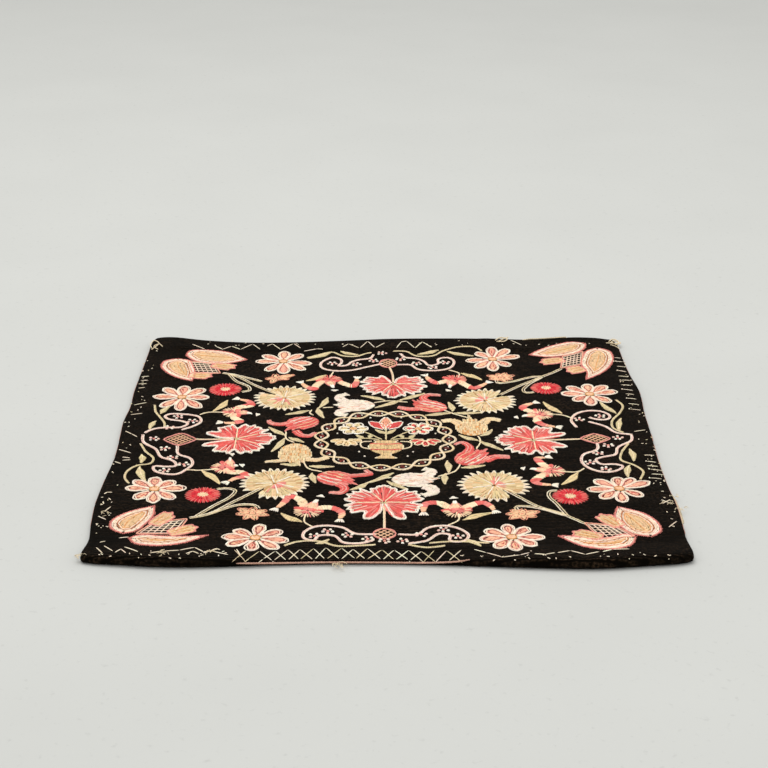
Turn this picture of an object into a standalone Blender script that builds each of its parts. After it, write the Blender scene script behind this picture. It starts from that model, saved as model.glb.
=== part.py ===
"""Embroidered wool cushion cover, emptied and laid flat, in the three pieces that a maker sews.

front_cloth: black wool whose four edges turn under as a hem, with a soft thick fold at the front.
lining:      the linen beneath it, set in from the folds but slipping out at three places.
edge_cord:   a thin cord sewn along the middle of the front fold.

Metres, +Z up. The origin is on the surface that the cover lies on, below the middle of the cloth.
The front fold faces -Y. On the flat cloth, u runs from -1 at the left fold to 1 at the right one, and v
from -1 at the front fold to 1 at the back one.
"""

import math

import bmesh
import bpy
import numpy as np

MM = 0.001

# Driving sizes
HALF_WIDTH = 248 * MM
HALF_LENGTH = 249 * MM
CLOTH = 1.3 * MM
LINING = 1.0 * MM
GAP = 0.3 * MM
HEM = 22 * MM
HEM_SLOPE = 9 * MM
LINING_INSET = 9 * MM
CORD_RADIUS = 0.8 * MM
CORD_SLACK = 0.15 * MM

# Levels of the middle of the cloth's thickness
HEM_LEVEL = LINING + GAP + CLOTH / 2
INNER_LEVEL = LINING + GAP + 0.35 * MM + CLOTH / 2
FOLDED_LEVEL = HEM_LEVEL + CLOTH + 0.6 * MM

# How far each side strays outwards from a straight line: (mm along the side, mm out)
SIDE_STRAY = {
    "front": ((-249, 7.5), (-222, 8.6), (-190, 12), (-137, 12), (-96, 9.2), (-45, 7.2), (0, 7.2), (40, 8.6),
              (83, 11.4), (120, 13.2), (175, 14.4), (217, 9), (249, 5.8)),
    "back": ((-249, 3), (-225, 2), (-190, -4.2), (-150, -9.4), (-100, -9), (-50, -5.2), (0, -1.2), (50, -0.8),
             (105, 0), (148, -2.8), (200, 0.6), (249, 1.6)),
    "left": ((-252, 4.4), (-238, 2.2), (-222, 0), (-185, 2), (-150, 3.4), (-105, 2.4), (-50, -0.2), (0, 1.2),
             (32, 2.2), (60, 0.2), (105, 1), (150, 0), (200, -1), (250, -2.2)),
    "right": ((-252, 4.2), (-238, 2.8), (-215, 1.5), (-180, 2.7), (-150, 2.9), (-120, 1.2), (-55, 0), (0, 1.5),
              (50, 1.6), (108, 3.2), (150, -0.2), (200, -1.8), (250, -2.6)),
}

# How much the folded edge stands above its usual height along the front: (mm from the middle, mm up)
FRONT_FOLD_RISE = ((-250, 2.6), (-222, 4.4), (-170, 4.8), (-125, 2.8), (-92, 0.5), (-45, 0), (35, 0),
                   (68, 1.2), (108, 4.2), (175, 5.2), (225, 5.0), (250, 3.4))
FRONT_FOLD_DEPTH = 24 * MM

# Soft hills of the cloth: (x, y of the top, half-widths across and along, rise), all in mm
HILLS = (
    (-236, 240, 26, 22, 2.0),
    (50, 246, 80, 26, 1.5),
    (205, 244, 34, 24, 1.8),
    (-120, 120, 75, 50, 0.9),
    (150, 60, 60, 85, 1.1),
    (-60, -70, 90, 48, 0.8),
    (95, -140, 70, 46, 1.0),
    (236, 105, 24, 50, 1.4),
    (-238, -150, 24, 42, 1.2),
    (-190, -15, 40, 60, 0.7),
)

# Narrow soft ridges: (x, y of the middle, degrees from X, half-length, half-width, rise), in mm
RIDGES = (
    (-206, 146, 2, 46, 6, 0.8),
    (-168, -156, -4, 52, 7, 0.9),
    (226, -204, 6, 36, 5, 1.0),
    (-20, -178, 3, 60, 8, 0.6),
    (150, 168, -12, 48, 7, 0.7),
    (66, 12, 84, 40, 7, 0.5),
    (-232, 62, 88, 44, 6, 0.7),
)

# Where the lining slips out past a fold: (side, mm along it from, to, mm out)
LINING_SLIPS = (
    ("right", -198, -122, 3.0),
    ("right", -150, -40, 1.4),
    ("back", 132, 206, 3.0),
)
SLIP_RAMP = 12 * MM
LIFT_LEAD = 20 * MM
LIFT_RAMP = 16 * MM

# The cord's route: (mm from the middle, degrees round the fold from level, upwards)
CORD_ROUTE = ((-122, 14), (-100, 12), (-60, 13), (0, 12), (34, 17), (51, 30), (60, 44), (67, 64))
CORD_POINTS = 60

# Mesh steps
CELLS_ACROSS = 36
CELLS_ALONG = 30
EDGE_CROWDING = 0.6
FOLD_STEPS = 5
HEM_STEPS = (4 * MM, 8 * MM, 14 * MM, HEM)
CORNER_SHARPNESS = 24
CORNER_PULL = 3 * MM
LINING_STEPS = 64


def clear_scene():
    for obj in list(bpy.data.objects):
        bpy.data.objects.remove(obj)


def smooth_step(low, high, value):
    """0 below low, 1 above high and a smooth rise between them."""
    t = np.clip((value - low) / (high - low), 0, 1)
    return t * t * (3 - 2 * t)


def along_rows(rows, place):
    """The value at place on a smooth curve through rows of (place, value)."""
    places, values = np.array(rows, float).T
    slopes = np.gradient(values, places)
    place = np.clip(place, places[0], places[-1])
    i = np.clip(np.searchsorted(places, place) - 1, 0, len(places) - 2)
    span = places[i + 1] - places[i]
    t = (place - places[i]) / span
    from_start = (1 + 2 * t) * (1 - t) ** 2 * values[i] + t * (1 - t) ** 2 * span * slopes[i]
    from_end = t**2 * (3 - 2 * t) * values[i + 1] + t**2 * (t - 1) * span * slopes[i + 1]
    return from_start + from_end


def nearness(t):
    """1 at that fold and quickly less away from it, so that a fold's own shape stays near it."""
    return ((1 + t) / 2) ** 4


def plan(u, v):
    """Where a point of the flat cloth lies, seen from above."""
    across, along = u * HALF_WIDTH / MM, v * HALF_LENGTH / MM
    out = {side: along_rows(rows, across if side in ("front", "back") else along) * MM
           for side, rows in SIDE_STRAY.items()}
    pull = CORNER_PULL * (abs(u) * abs(v)) ** CORNER_SHARPNESS
    x = u * HALF_WIDTH + out["right"] * nearness(u) - out["left"] * nearness(-u) - np.sign(u) * pull
    y = v * HALF_LENGTH + out["back"] * nearness(v) - out["front"] * nearness(-v) - np.sign(v) * pull
    return x, y


def outwards(u, v):
    """The level direction out of the cloth at a point of its edge, turning smoothly round a corner."""
    x = np.sign(u) * abs(u) ** CORNER_SHARPNESS
    y = np.sign(v) * abs(v) ** CORNER_SHARPNESS
    length = math.hypot(x, y)
    return x / length, y / length


def slip_window(place, start, end, lead, ramp):
    """1 between start and end less a lead inwards, with a ramp outside that."""
    low, high = start * MM + lead, end * MM - lead
    return smooth_step(low - ramp, low, place) * (1 - smooth_step(high, high + ramp, place))


def fold_lift(u, v):
    """How far the fold is held above the surface where the lining slips out beneath it."""
    lift = 0.0
    for side, start, end, _ in LINING_SLIPS:
        place, near = (v * HALF_LENGTH, u) if side == "right" else (u * HALF_WIDTH, v)
        window = slip_window(place, start, end, -LIFT_LEAD, LIFT_RAMP)
        lift = np.maximum(lift, (LINING + GAP) * window * np.clip(near, 0, 1) ** CORNER_SHARPNESS)
    return lift


def hills_and_ridges(u, v):
    across, along = u * HALF_WIDTH / MM, v * HALF_LENGTH / MM
    rise = 0.0
    for x, y, wide, deep, up in HILLS:
        rise = rise + up * np.exp(-(((across - x) / wide) ** 2) - ((along - y) / deep) ** 2)
    for x, y, degrees, length, width, up in RIDGES:
        c, s = math.cos(math.radians(degrees)), math.sin(math.radians(degrees))
        down_it = (across - x) * c + (along - y) * s
        over_it = (along - y) * c - (across - x) * s
        rise = rise + up * np.exp(-((down_it / length) ** 2) - (over_it / width) ** 2)
    return rise * MM


def cloth_height(u, v):
    """The height of the middle of the front cloth's thickness, above the surface that it lies on."""
    from_side = (1 - abs(u)) * HALF_WIDTH
    from_end = (1 - abs(v)) * HALF_LENGTH
    off_hem = smooth_step(HEM, HEM + HEM_SLOPE, from_side) * smooth_step(HEM, HEM + HEM_SLOPE, from_end)
    level = FOLDED_LEVEL + (INNER_LEVEL - FOLDED_LEVEL) * off_hem
    behind_front = (1 + v) * HALF_LENGTH
    front_fold = along_rows(FRONT_FOLD_RISE, u * HALF_WIDTH / MM) * MM
    front_fold = front_fold * np.exp(-((behind_front / FRONT_FOLD_DEPTH) ** 2))
    return level + front_fold + hills_and_ridges(u, v) + fold_lift(u, v) / 2


def fold_radius(u, v):
    """The radius of the fold, to the middle of the cloth's thickness, and the height of its centre."""
    bottom = CLOTH / 2 + fold_lift(u, v)
    radius = (cloth_height(u, v) - bottom) / 2
    return radius, bottom + radius


def fold_point(u, v, degrees, clear=0.0):
    """A point round the fold, that many degrees above level, and that far outside the cloth's middle."""
    radius, centre = fold_radius(u, v)
    x, y = plan(u, v)
    out_x, out_y = outwards(u, v)
    reach = (radius + clear) * math.cos(math.radians(degrees))
    return x + out_x * reach, y + out_y * reach, centre + (radius + clear) * math.sin(math.radians(degrees))


def hem_point(u, v, inset):
    """A point of the hem that is turned under, that far in from the fold. It climbs over the lining's edge."""
    x, y = plan(u * (1 - inset / HALF_WIDTH), v * (1 - inset / HALF_LENGTH))
    climb = (LINING + GAP) * smooth_step(2 * MM, 7 * MM, inset)
    return x, y, CLOTH / 2 + max(fold_lift(u, v), climb)


def cloth_point(u, v, ring):
    """A point of the front cloth: ring 0 is its face, and the next rings go round the fold and under."""
    if ring == 0:
        return (*plan(u, v), cloth_height(u, v))
    if ring <= FOLD_STEPS:
        return fold_point(u, v, 90 - 180 * ring / FOLD_STEPS)
    return hem_point(u, v, HEM_STEPS[ring - FOLD_STEPS - 1])


def crowd(t):
    """Moves evenly spaced lines of a -1 to 1 grid towards its edges, where the cloth bends most."""
    return (1 - EDGE_CROWDING) * t + EDGE_CROWDING * math.sin(math.pi * t / 2)


def plain_finish(name, colour, roughness):
    material = bpy.data.materials.new(name)
    material.use_nodes = True
    shader = material.node_tree.nodes["Principled BSDF"]
    shader.inputs["Base Color"].default_value = (*colour, 1)
    shader.inputs["Roughness"].default_value = roughness
    shader.inputs["Metallic"].default_value = 0
    return material


def place_in(collection, obj, material):
    for other in list(obj.users_collection):
        other.objects.unlink(obj)
    collection.objects.link(obj)
    obj.data.materials.append(material)


def make_front_cloth(collection):
    """A grid whose open edge is drawn out ring by ring, round the fold and under, then given its thickness."""
    bpy.ops.mesh.primitive_grid_add(x_subdivisions=CELLS_ACROSS, y_subdivisions=CELLS_ALONG, size=2)
    cloth = bpy.context.object
    cloth.name = cloth.data.name = "front_cloth"
    mesh = bmesh.new()
    mesh.from_mesh(cloth.data)
    ring_of = {vertex: 0 for vertex in mesh.verts}
    edge = [e for e in mesh.edges if e.is_boundary]
    for ring in range(1, FOLD_STEPS + len(HEM_STEPS) + 1):
        drawn = bmesh.ops.extrude_edge_only(mesh, edges=edge)["geom"]
        ring_of.update({g: ring for g in drawn if isinstance(g, bmesh.types.BMVert)})
        edge = [g for g in drawn if isinstance(g, bmesh.types.BMEdge) and g.is_boundary]
    for vertex, ring in ring_of.items():
        vertex.co = cloth_point(crowd(vertex.co.x), crowd(vertex.co.y), ring)
    mesh.to_mesh(cloth.data)
    mesh.free()
    cloth.data.shade_smooth()
    thickness = cloth.modifiers.new("thickness", "SOLIDIFY")
    thickness.thickness = CLOTH
    thickness.offset = 0
    place_in(collection, cloth, plain_finish("black_wool", (0.010, 0.009, 0.010), 0.92))


def lining_reach(side, place):
    """How far the lining's edge lies outside the fold's line. It is less than 0 where it is set in."""
    reach = -LINING_INSET
    for slip_side, start, end, out in LINING_SLIPS:
        if slip_side == side:
            window = slip_window(place, start, end, SLIP_RAMP, SLIP_RAMP)
            reach = max(reach, (out * MM + fold_reach(side, place) + LINING_INSET) * window - LINING_INSET)
    return reach


def fold_reach(side, place):
    """How far the fold's outside stands out from its line there."""
    u, v = (1, place / HALF_LENGTH) if side == "right" else (place / HALF_WIDTH, 1)
    return fold_radius(u, v)[0] + CLOTH / 2


def lining_outline():
    """The lining's edge seen from above, anticlockwise from the front left corner."""
    points = []
    steps = [-1 + 2 * i / LINING_STEPS for i in range(LINING_STEPS)]
    for side in ("front", "right", "back", "left"):
        for t in steps:
            t = crowd(t)
            u, v = {"front": (t, -1), "right": (1, t), "back": (-t, 1), "left": (-1, -t)}[side]
            place = v * HALF_LENGTH if side in ("right", "left") else u * HALF_WIDTH
            reach = lining_reach(side, place)
            scale_x = 1 + (reach if side in ("right", "left") else -LINING_INSET) / HALF_WIDTH
            scale_y = 1 + (reach if side in ("front", "back") else -LINING_INSET) / HALF_LENGTH
            points.append(stretched_plan(u, v, scale_x, scale_y))
    return points


def stretched_plan(u, v, scale_x, scale_y):
    """plan() a little inside or outside the cloth's own line."""
    x, y = plan(u * min(scale_x, 1), v * min(scale_y, 1))
    x += u * max(scale_x - 1, 0) * HALF_WIDTH
    y += v * max(scale_y - 1, 0) * HALF_LENGTH
    return x, y


def make_lining(collection):
    """A flat outline with a thickness: the face that the cover rests on is level."""
    outline = bpy.data.curves.new("lining", "CURVE")
    outline.dimensions = "2D"
    outline.fill_mode = "BOTH"
    outline.extrude = LINING / 2
    points = lining_outline()
    spline = outline.splines.new("POLY")
    spline.points.add(len(points) - 1)
    for point, (x, y) in zip(spline.points, points):
        point.co = (x, y, 0, 1)
    spline.use_cyclic_u = True
    lining = bpy.data.objects.new("lining", outline)
    lining.location.z = LINING / 2
    place_in(collection, lining, plain_finish("unbleached_linen", (0.62, 0.50, 0.34), 0.9))


def make_edge_cord(collection):
    """A round cord that lies against the front fold and climbs it at its right end."""
    route = bpy.data.curves.new("edge_cord", "CURVE")
    route.dimensions = "3D"
    route.bevel_depth = CORD_RADIUS
    route.bevel_resolution = 2
    route.use_fill_caps = True
    spline = route.splines.new("POLY")
    spline.points.add(CORD_POINTS - 1)
    start, end = CORD_ROUTE[0][0], CORD_ROUTE[-1][0]
    clear = CLOTH / 2 + GAP + CORD_SLACK + CORD_RADIUS
    for i, point in enumerate(spline.points):
        place = start + (end - start) * i / (CORD_POINTS - 1)
        degrees = along_rows(CORD_ROUTE, place)
        point.co = (*fold_point(place * MM / HALF_WIDTH, -1, degrees, clear), 1)
    cord = bpy.data.objects.new("edge_cord", route)
    place_in(collection, cord, plain_finish("rose_wool", (0.55, 0.30, 0.22), 0.85))


def main():
    clear_scene()
    collection = bpy.data.collections.new("embroidered_cushion_cover")
    bpy.context.scene.collection.children.link(collection)
    make_front_cloth(collection)
    make_lining(collection)
    make_edge_cord(collection)


main()
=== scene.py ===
"""Embroidered cushion cover, emptied and laid flat: its cloth, lining, cord and wool embroidery.

Each stitch is a short arch of yarn that rises out of the cloth and dips back into it. The flowers stand where
they are seen from the front: their places are given on a level plane just above the surface that the cover
lies on, in millimetres, and each stitch is carried along the line of sight onto the cloth.
"""

import math

import bpy
import numpy as np
from mathutils import Matrix, Vector


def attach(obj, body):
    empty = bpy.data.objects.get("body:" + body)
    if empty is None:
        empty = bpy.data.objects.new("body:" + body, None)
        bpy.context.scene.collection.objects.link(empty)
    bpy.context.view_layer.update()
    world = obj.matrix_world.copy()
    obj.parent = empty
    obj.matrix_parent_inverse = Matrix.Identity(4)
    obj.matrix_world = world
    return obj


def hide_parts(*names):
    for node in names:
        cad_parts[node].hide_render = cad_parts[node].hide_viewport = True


bl_info = {
    "name": "Embroidered Cushion Cover",
    "version": (1, 0, 0),
    "blender": (4, 5, 0),
    "location": "View3D > Sidebar > Cushion Cover",
    "description": "Makes a black wool cushion cover with floral wool embroidery, hems, a lining and a cord",
    "category": "Add Mesh",
}

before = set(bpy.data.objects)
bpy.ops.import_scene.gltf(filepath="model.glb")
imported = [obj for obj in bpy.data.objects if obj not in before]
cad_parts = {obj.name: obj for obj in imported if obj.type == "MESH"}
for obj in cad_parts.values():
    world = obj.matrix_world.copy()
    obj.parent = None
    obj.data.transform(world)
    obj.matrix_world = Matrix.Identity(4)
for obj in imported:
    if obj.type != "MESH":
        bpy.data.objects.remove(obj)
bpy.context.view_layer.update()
MM = 0.001

# The flat cloth and its folds, the same as in the solids
HALF_WIDTH = 248 * MM
HALF_LENGTH = 249 * MM
CLOTH = 1.3 * MM
LINING = 1.0 * MM
GAP = 0.3 * MM
HEM = 22 * MM
HEM_SLOPE = 9 * MM
LINING_INSET = 9 * MM
HEM_LEVEL = LINING + GAP + CLOTH / 2
INNER_LEVEL = LINING + GAP + 0.35 * MM + CLOTH / 2
FOLDED_LEVEL = HEM_LEVEL + CLOTH + 0.6 * MM
SIDE_STRAY = {
    "front": ((-249, 7.5), (-222, 8.6), (-190, 12), (-137, 12), (-96, 9.2), (-45, 7.2), (0, 7.2), (40, 8.6),
              (83, 11.4), (120, 13.2), (175, 14.4), (217, 9), (249, 5.8)),
    "back": ((-249, 3), (-225, 2), (-190, -4.2), (-150, -9.4), (-100, -9), (-50, -5.2), (0, -1.2), (50, -0.8),
             (105, 0), (148, -2.8), (200, 0.6), (249, 1.6)),
    "left": ((-252, 4.4), (-238, 2.2), (-222, 0), (-185, 2), (-150, 3.4), (-105, 2.4), (-50, -0.2), (0, 1.2),
             (32, 2.2), (60, 0.2), (105, 1), (150, 0), (200, -1), (250, -2.2)),
    "right": ((-252, 4.2), (-238, 2.8), (-215, 1.5), (-180, 2.7), (-150, 2.9), (-120, 1.2), (-55, 0),
              (0, 1.5), (50, 1.6), (108, 3.2), (150, -0.2), (200, -1.8), (250, -2.6)),
}
FRONT_FOLD_RISE = ((-250, 2.6), (-222, 4.4), (-170, 4.8), (-125, 2.8), (-92, 0.5), (-45, 0), (35, 0),
                   (68, 1.2), (108, 4.2), (175, 5.2), (225, 5.0), (250, 3.4))
FRONT_FOLD_DEPTH = 24 * MM
HILLS = ((-236, 240, 26, 22, 2.0), (50, 246, 80, 26, 1.5), (205, 244, 34, 24, 1.8), (-120, 120, 75, 50, 0.9),
         (150, 60, 60, 85, 1.1), (-60, -70, 90, 48, 0.8), (95, -140, 70, 46, 1.0), (236, 105, 24, 50, 1.4),
         (-238, -150, 24, 42, 1.2), (-190, -15, 40, 60, 0.7))
RIDGES = ((-206, 146, 2, 46, 6, 0.8), (-168, -156, -4, 52, 7, 0.9), (226, -204, 6, 36, 5, 1.0),
          (-20, -178, 3, 60, 8, 0.6), (150, 168, -12, 48, 7, 0.7), (66, 12, 84, 40, 7, 0.5),
          (-232, 62, 88, 44, 6, 0.7))
LINING_SLIPS = (("right", -198, -122, 3.0), ("right", -150, -40, 1.4), ("back", 132, 206, 3.0))
SLIP_RAMP = 12 * MM
LIFT_LEAD = 20 * MM
LIFT_RAMP = 16 * MM
CORNER_SHARPNESS = 24
CORNER_PULL = 3 * MM
EDGE_CROWDING = 0.6
CORD_ROUTE = ((-122, 14), (-100, 12), (-60, 13), (0, 12), (34, 17), (51, 30), (60, 44), (67, 64))
CORD_RADIUS = 0.8 * MM
CORD_SLACK = 0.15 * MM
# The cord's plies go once round each other in this many mm
PLY_PITCH = 4.2

# Fine waves that the cloth keeps from folding: (mm from crest to crest, degrees, phase, mm up)
CRINKLES = ((31, 82, 0.4, 0.16), (23, 97, 2.1, 0.12), (17, 88, 4.0, 0.07), (47, 20, 1.2, 0.12),
            (26, 64, 5.1, 0.06))

# How finely the cloths are divided, how far in the hem's rings lie in mm, how the lining turns up behind the
# back fold as (degrees round the fold, mm outside the middle of the cloth), and how thick it is shown
CLOTH_CELLS = 150
LINING_CELLS = 72
FOLD_STEPS = 6
HEM_STEPS = (4, 8, 14, 22)
LINING_LIP = ((-28, 1.9), (0, 1.5), (30, 1.3), (58, 1.25), (84, 1.35), (104, 1.6))
LINING_SHOWN = 0.9 * MM

# The camera: its place, the degrees that it looks down, turns and tilts, and its lens in mm. Then the level
# plane on which the flowers' places were read, and the reach and the cells of the relief of the cloth
CAMERA_SPOT = (-8.23 * MM, -1618.62 * MM, 716.16 * MM)
CAMERA_DOWN = 22.225
CAMERA_YAW = -0.2222
CAMERA_ROLL = 0.1526
CAMERA_LENS = 87.449
SEEN_LEVEL = 3 * MM
RELIEF_REACH = 276 * MM
RELIEF_CELLS = 368

# One stitch: where its rings stand along it, how wide and how high it is there, and the arch of a ring
STATIONS = np.array((0.0, 0.2, 0.5, 0.8, 1.0))
FULLNESS = np.array((0.5, 0.92, 1.0, 0.92, 0.5))
RISING = np.array((0.05, 0.85, 1.0, 0.85, 0.05))
ARCH = np.radians((-90, -42, 0, 42, 90))
SINK = 0.18
# Painted shade: darker at its ends and its sides, where it dips into the cloth
END_PAINTED_SHADE = np.array((0.86, 1, 1, 1, 0.86))
SIDE_PAINTED_SHADE = np.array((0.6, 1, 1, 1, 0.6))
# How far stitches of one dye differ, and the widest that one grows where the cloth slopes away from the eye
SHADE_STRAY = 0.085
HUE_STRAY = 0.02
MOST_STRETCH = 2.4
# A satin stitch longer than this many mm is cut into two
LONGEST_STITCH = 11


def dye(red, green, blue):
    """A colour as it is seen on a screen, 0 to 255, turned into the linear values that a shader takes."""
    shares = (c / 255 for c in (red, green, blue))
    return tuple(c / 12.92 if c < 0.04045 else ((c + 0.055) / 1.055) ** 2.4 for c in shares)


def colour_property(name, description, colour):
    return bpy.props.FloatVectorProperty(
        name=name, description=description, subtype="COLOR", size=3, min=0, max=1, default=dye(*colour))


def length_property(name, description, default):
    return bpy.props.FloatProperty(
        name=name, description=description, default=default, min=0, unit="LENGTH", precision=4)


class CoverWools(bpy.types.PropertyGroup):
    """The dyed wools of the embroidery"""

    white: colour_property("White", "Undyed wool of the petals' rims and the teeth", (254, 243, 227))
    cream: colour_property("Cream", "Cream wool of stems, wreath and bands", (250, 229, 193))
    peach: colour_property("Peach", "Peach wool inside the petals", (251, 198, 160))
    pink: colour_property("Pink", "Faded pink wool of outlines and garlands", (240, 160, 148))
    coral: colour_property("Coral", "Coral wool of the carnations and tulips", (229, 100, 93))
    red: colour_property("Red", "Madder red wool of the daisies", (216, 48, 58))
    straw: colour_property("Straw", "Straw yellow wool of the large round flowers", (235, 210, 160))
    gold: colour_property("Gold", "Deeper yellow wool of cores and flecks", (228, 168, 108))
    olive: colour_property("Olive", "Faded green wool of leaves and tendrils", (220, 203, 158))
    brown: colour_property("Brown", "Pink-brown wool of nets and berries", (186, 92, 80))


class CoverSizes(bpy.types.PropertyGroup):
    """The sizes of the yarns"""

    yarn: length_property("Yarn width", "Width of one stitch of embroidery wool", 1.55 * MM)
    rise: length_property("Yarn rise", "How far a stitch stands out of the cloth", 0.85 * MM)
    thin_yarn: length_property("Border yarn width", "Width of the thin border stitches", 0.95 * MM)
    ply: length_property("Cord ply", "Radius of each ply of the edge cord", 0.52 * MM)
    crinkle: bpy.props.FloatProperty(
        name="Crinkles", description="How strong the fine waves of the cloth are, 1 as found", default=1.0,
        min=0, max=2, subtype="FACTOR")


class CoverFinish(bpy.types.PropertyGroup):
    """The colours of the cloths, cord and stage"""

    ground: colour_property("Black wool", "The fulled wool of the front cloth", (9, 6, 3))
    worn: colour_property("Worn wool", "The same wool where its nap is worn", (68, 52, 38))
    linen: colour_property("Linen", "The lining", (226, 208, 172))
    cord: colour_property("Cord", "The cord of the front fold", (206, 160, 138))
    floor: colour_property("Floor", "The floor of the stage", (194, 195, 191))
    lamp: bpy.props.FloatProperty(
        name="Lamp", description="Power of the broad lamp above", default=37.0, min=0, unit="POWER")


def smooth_step(low, high, value):
    """0 below low, 1 above high and a smooth rise between them."""
    t = np.clip((value - low) / (high - low), 0, 1)
    return t * t * (3 - 2 * t)


def along_rows(rows, place):
    """The value at place on a smooth curve through rows of (place, value)."""
    places, values = np.array(rows, float).T
    slopes = np.gradient(values, places)
    place = np.clip(place, places[0], places[-1])
    i = np.clip(np.searchsorted(places, place) - 1, 0, len(places) - 2)
    span = places[i + 1] - places[i]
    t = (place - places[i]) / span
    from_start = (1 + 2 * t) * (1 - t) ** 2 * values[i] + t * (1 - t) ** 2 * span * slopes[i]
    from_end = t**2 * (3 - 2 * t) * values[i + 1] + t**2 * (t - 1) * span * slopes[i + 1]
    return from_start + from_end


def nearness(t):
    """1 at that fold and quickly less away from it."""
    return ((1 + t) / 2) ** 4


def plan(u, v):
    """Where a point of the flat cloth lies, seen from above."""
    across, along = u * HALF_WIDTH / MM, v * HALF_LENGTH / MM
    out = {side: along_rows(rows, across if side in ("front", "back") else along) * MM
           for side, rows in SIDE_STRAY.items()}
    pull = CORNER_PULL * (abs(u) * abs(v)) ** CORNER_SHARPNESS
    x = u * HALF_WIDTH + out["right"] * nearness(u) - out["left"] * nearness(-u) - np.sign(u) * pull
    y = v * HALF_LENGTH + out["back"] * nearness(v) - out["front"] * nearness(-v) - np.sign(v) * pull
    return x, y


def outwards(u, v):
    """The level direction out of the cloth at a point of its edge, turning smoothly round a corner."""
    x = np.sign(u) * abs(u) ** CORNER_SHARPNESS
    y = np.sign(v) * abs(v) ** CORNER_SHARPNESS
    length = np.hypot(x, y)
    return x / length, y / length


def slip_window(place, start, end, lead, ramp):
    """1 between start and end less a lead inwards, with a ramp outside that."""
    low, high = start * MM + lead, end * MM - lead
    return smooth_step(low - ramp, low, place) * (1 - smooth_step(high, high + ramp, place))


def fold_lift(u, v):
    """How far the fold is held above the floor where the lining slips out beneath it."""
    lift = 0.0
    for side, start, end, _ in LINING_SLIPS:
        place, near = (v * HALF_LENGTH, u) if side == "right" else (u * HALF_WIDTH, v)
        window = slip_window(place, start, end, -LIFT_LEAD, LIFT_RAMP)
        lift = np.maximum(lift, (LINING + GAP) * window * np.clip(near, 0, 1) ** CORNER_SHARPNESS)
    return lift


def hills_and_ridges(u, v):
    across, along = u * HALF_WIDTH / MM, v * HALF_LENGTH / MM
    rise = 0.0
    for x, y, wide, deep, up in HILLS:
        rise = rise + up * np.exp(-(((across - x) / wide) ** 2) - ((along - y) / deep) ** 2)
    for x, y, degrees, length, width, up in RIDGES:
        c, s = math.cos(math.radians(degrees)), math.sin(math.radians(degrees))
        down_it = (across - x) * c + (along - y) * s
        over_it = (along - y) * c - (across - x) * s
        rise = rise + up * np.exp(-((down_it / length) ** 2) - (over_it / width) ** 2)
    return rise * MM


def crinkles(u, v):
    """Fine waves, none at the folds."""
    across, along = u * HALF_WIDTH / MM, v * HALF_LENGTH / MM
    rise = 0.0
    for pitch, degrees, phase, up in CRINKLES:
        way = across * math.cos(math.radians(degrees)) + along * math.sin(math.radians(degrees))
        wander = 1.3 * np.sin(across / 41 + phase) + 0.9 * np.sin(along / 57 + 2 * phase)
        rise = rise + up * np.sin(2 * math.pi * way / pitch + phase + wander)
    strength = bpy.context.scene.cover_sizes.crinkle
    return rise * MM * strength * (1 - abs(u) ** 16) * (1 - abs(v) ** 16)


def cloth_height(u, v):
    """The height of the middle of the front cloth's thickness, as in the solids."""
    from_side = (1 - abs(u)) * HALF_WIDTH
    from_end = (1 - abs(v)) * HALF_LENGTH
    off_hem = smooth_step(HEM, HEM + HEM_SLOPE, from_side) * smooth_step(HEM, HEM + HEM_SLOPE, from_end)
    level = FOLDED_LEVEL + (INNER_LEVEL - FOLDED_LEVEL) * off_hem
    behind_front = (1 + v) * HALF_LENGTH
    front_fold = along_rows(FRONT_FOLD_RISE, u * HALF_WIDTH / MM) * MM
    front_fold = front_fold * np.exp(-((behind_front / FRONT_FOLD_DEPTH) ** 2))
    return level + front_fold + hills_and_ridges(u, v) + fold_lift(u, v) / 2


def fold_radius(u, v):
    """The radius of the fold, to the middle of the cloth's thickness, and the height of its centre."""
    bottom = CLOTH / 2 + fold_lift(u, v)
    radius = (cloth_height(u, v) - bottom) / 2
    return radius, bottom + radius


def fold_point(u, v, degrees, clear=0.0):
    """A point round the fold, that many degrees above level, and that far outside the cloth's middle."""
    radius, centre = fold_radius(u, v)
    x, y = plan(u, v)
    out_x, out_y = outwards(u, v)
    reach = (radius + clear) * np.cos(np.radians(degrees))
    return x + out_x * reach, y + out_y * reach, centre + (radius + clear) * np.sin(np.radians(degrees))


def flat_place(x, y):
    """The u and v of the flat cloth that lie at x, y. Just past a fold they are a little over 1."""
    u, v = x / HALF_WIDTH, y / HALF_LENGTH
    for _ in range(8):
        at_x, at_y = plan(u, v)
        u = np.clip(u + (x - at_x) / HALF_WIDTH, -1.06, 1.06)
        v = np.clip(v + (y - at_y) / HALF_LENGTH, -1.06, 1.06)
    return u, v


def face_height(x, y):
    """The height of the cloth's face above the floor. It falls away round the folds."""
    u, v = flat_place(x, y)
    in_u, in_v = np.clip(u, -1, 1), np.clip(v, -1, 1)
    beyond = np.hypot((u - in_u) * HALF_WIDTH, (v - in_v) * HALF_LENGTH)
    radius, centre = fold_radius(in_u, in_v)
    outside = radius + CLOTH / 2
    beyond = np.minimum(beyond, 0.93 * outside)
    return centre + np.sqrt(outside**2 - beyond**2) + crinkles(in_u, in_v)


def normed(rows):
    """The same directions in space with length 1."""
    return rows / np.maximum(np.linalg.norm(rows, axis=-1, keepdims=True), 1e-12)


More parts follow.
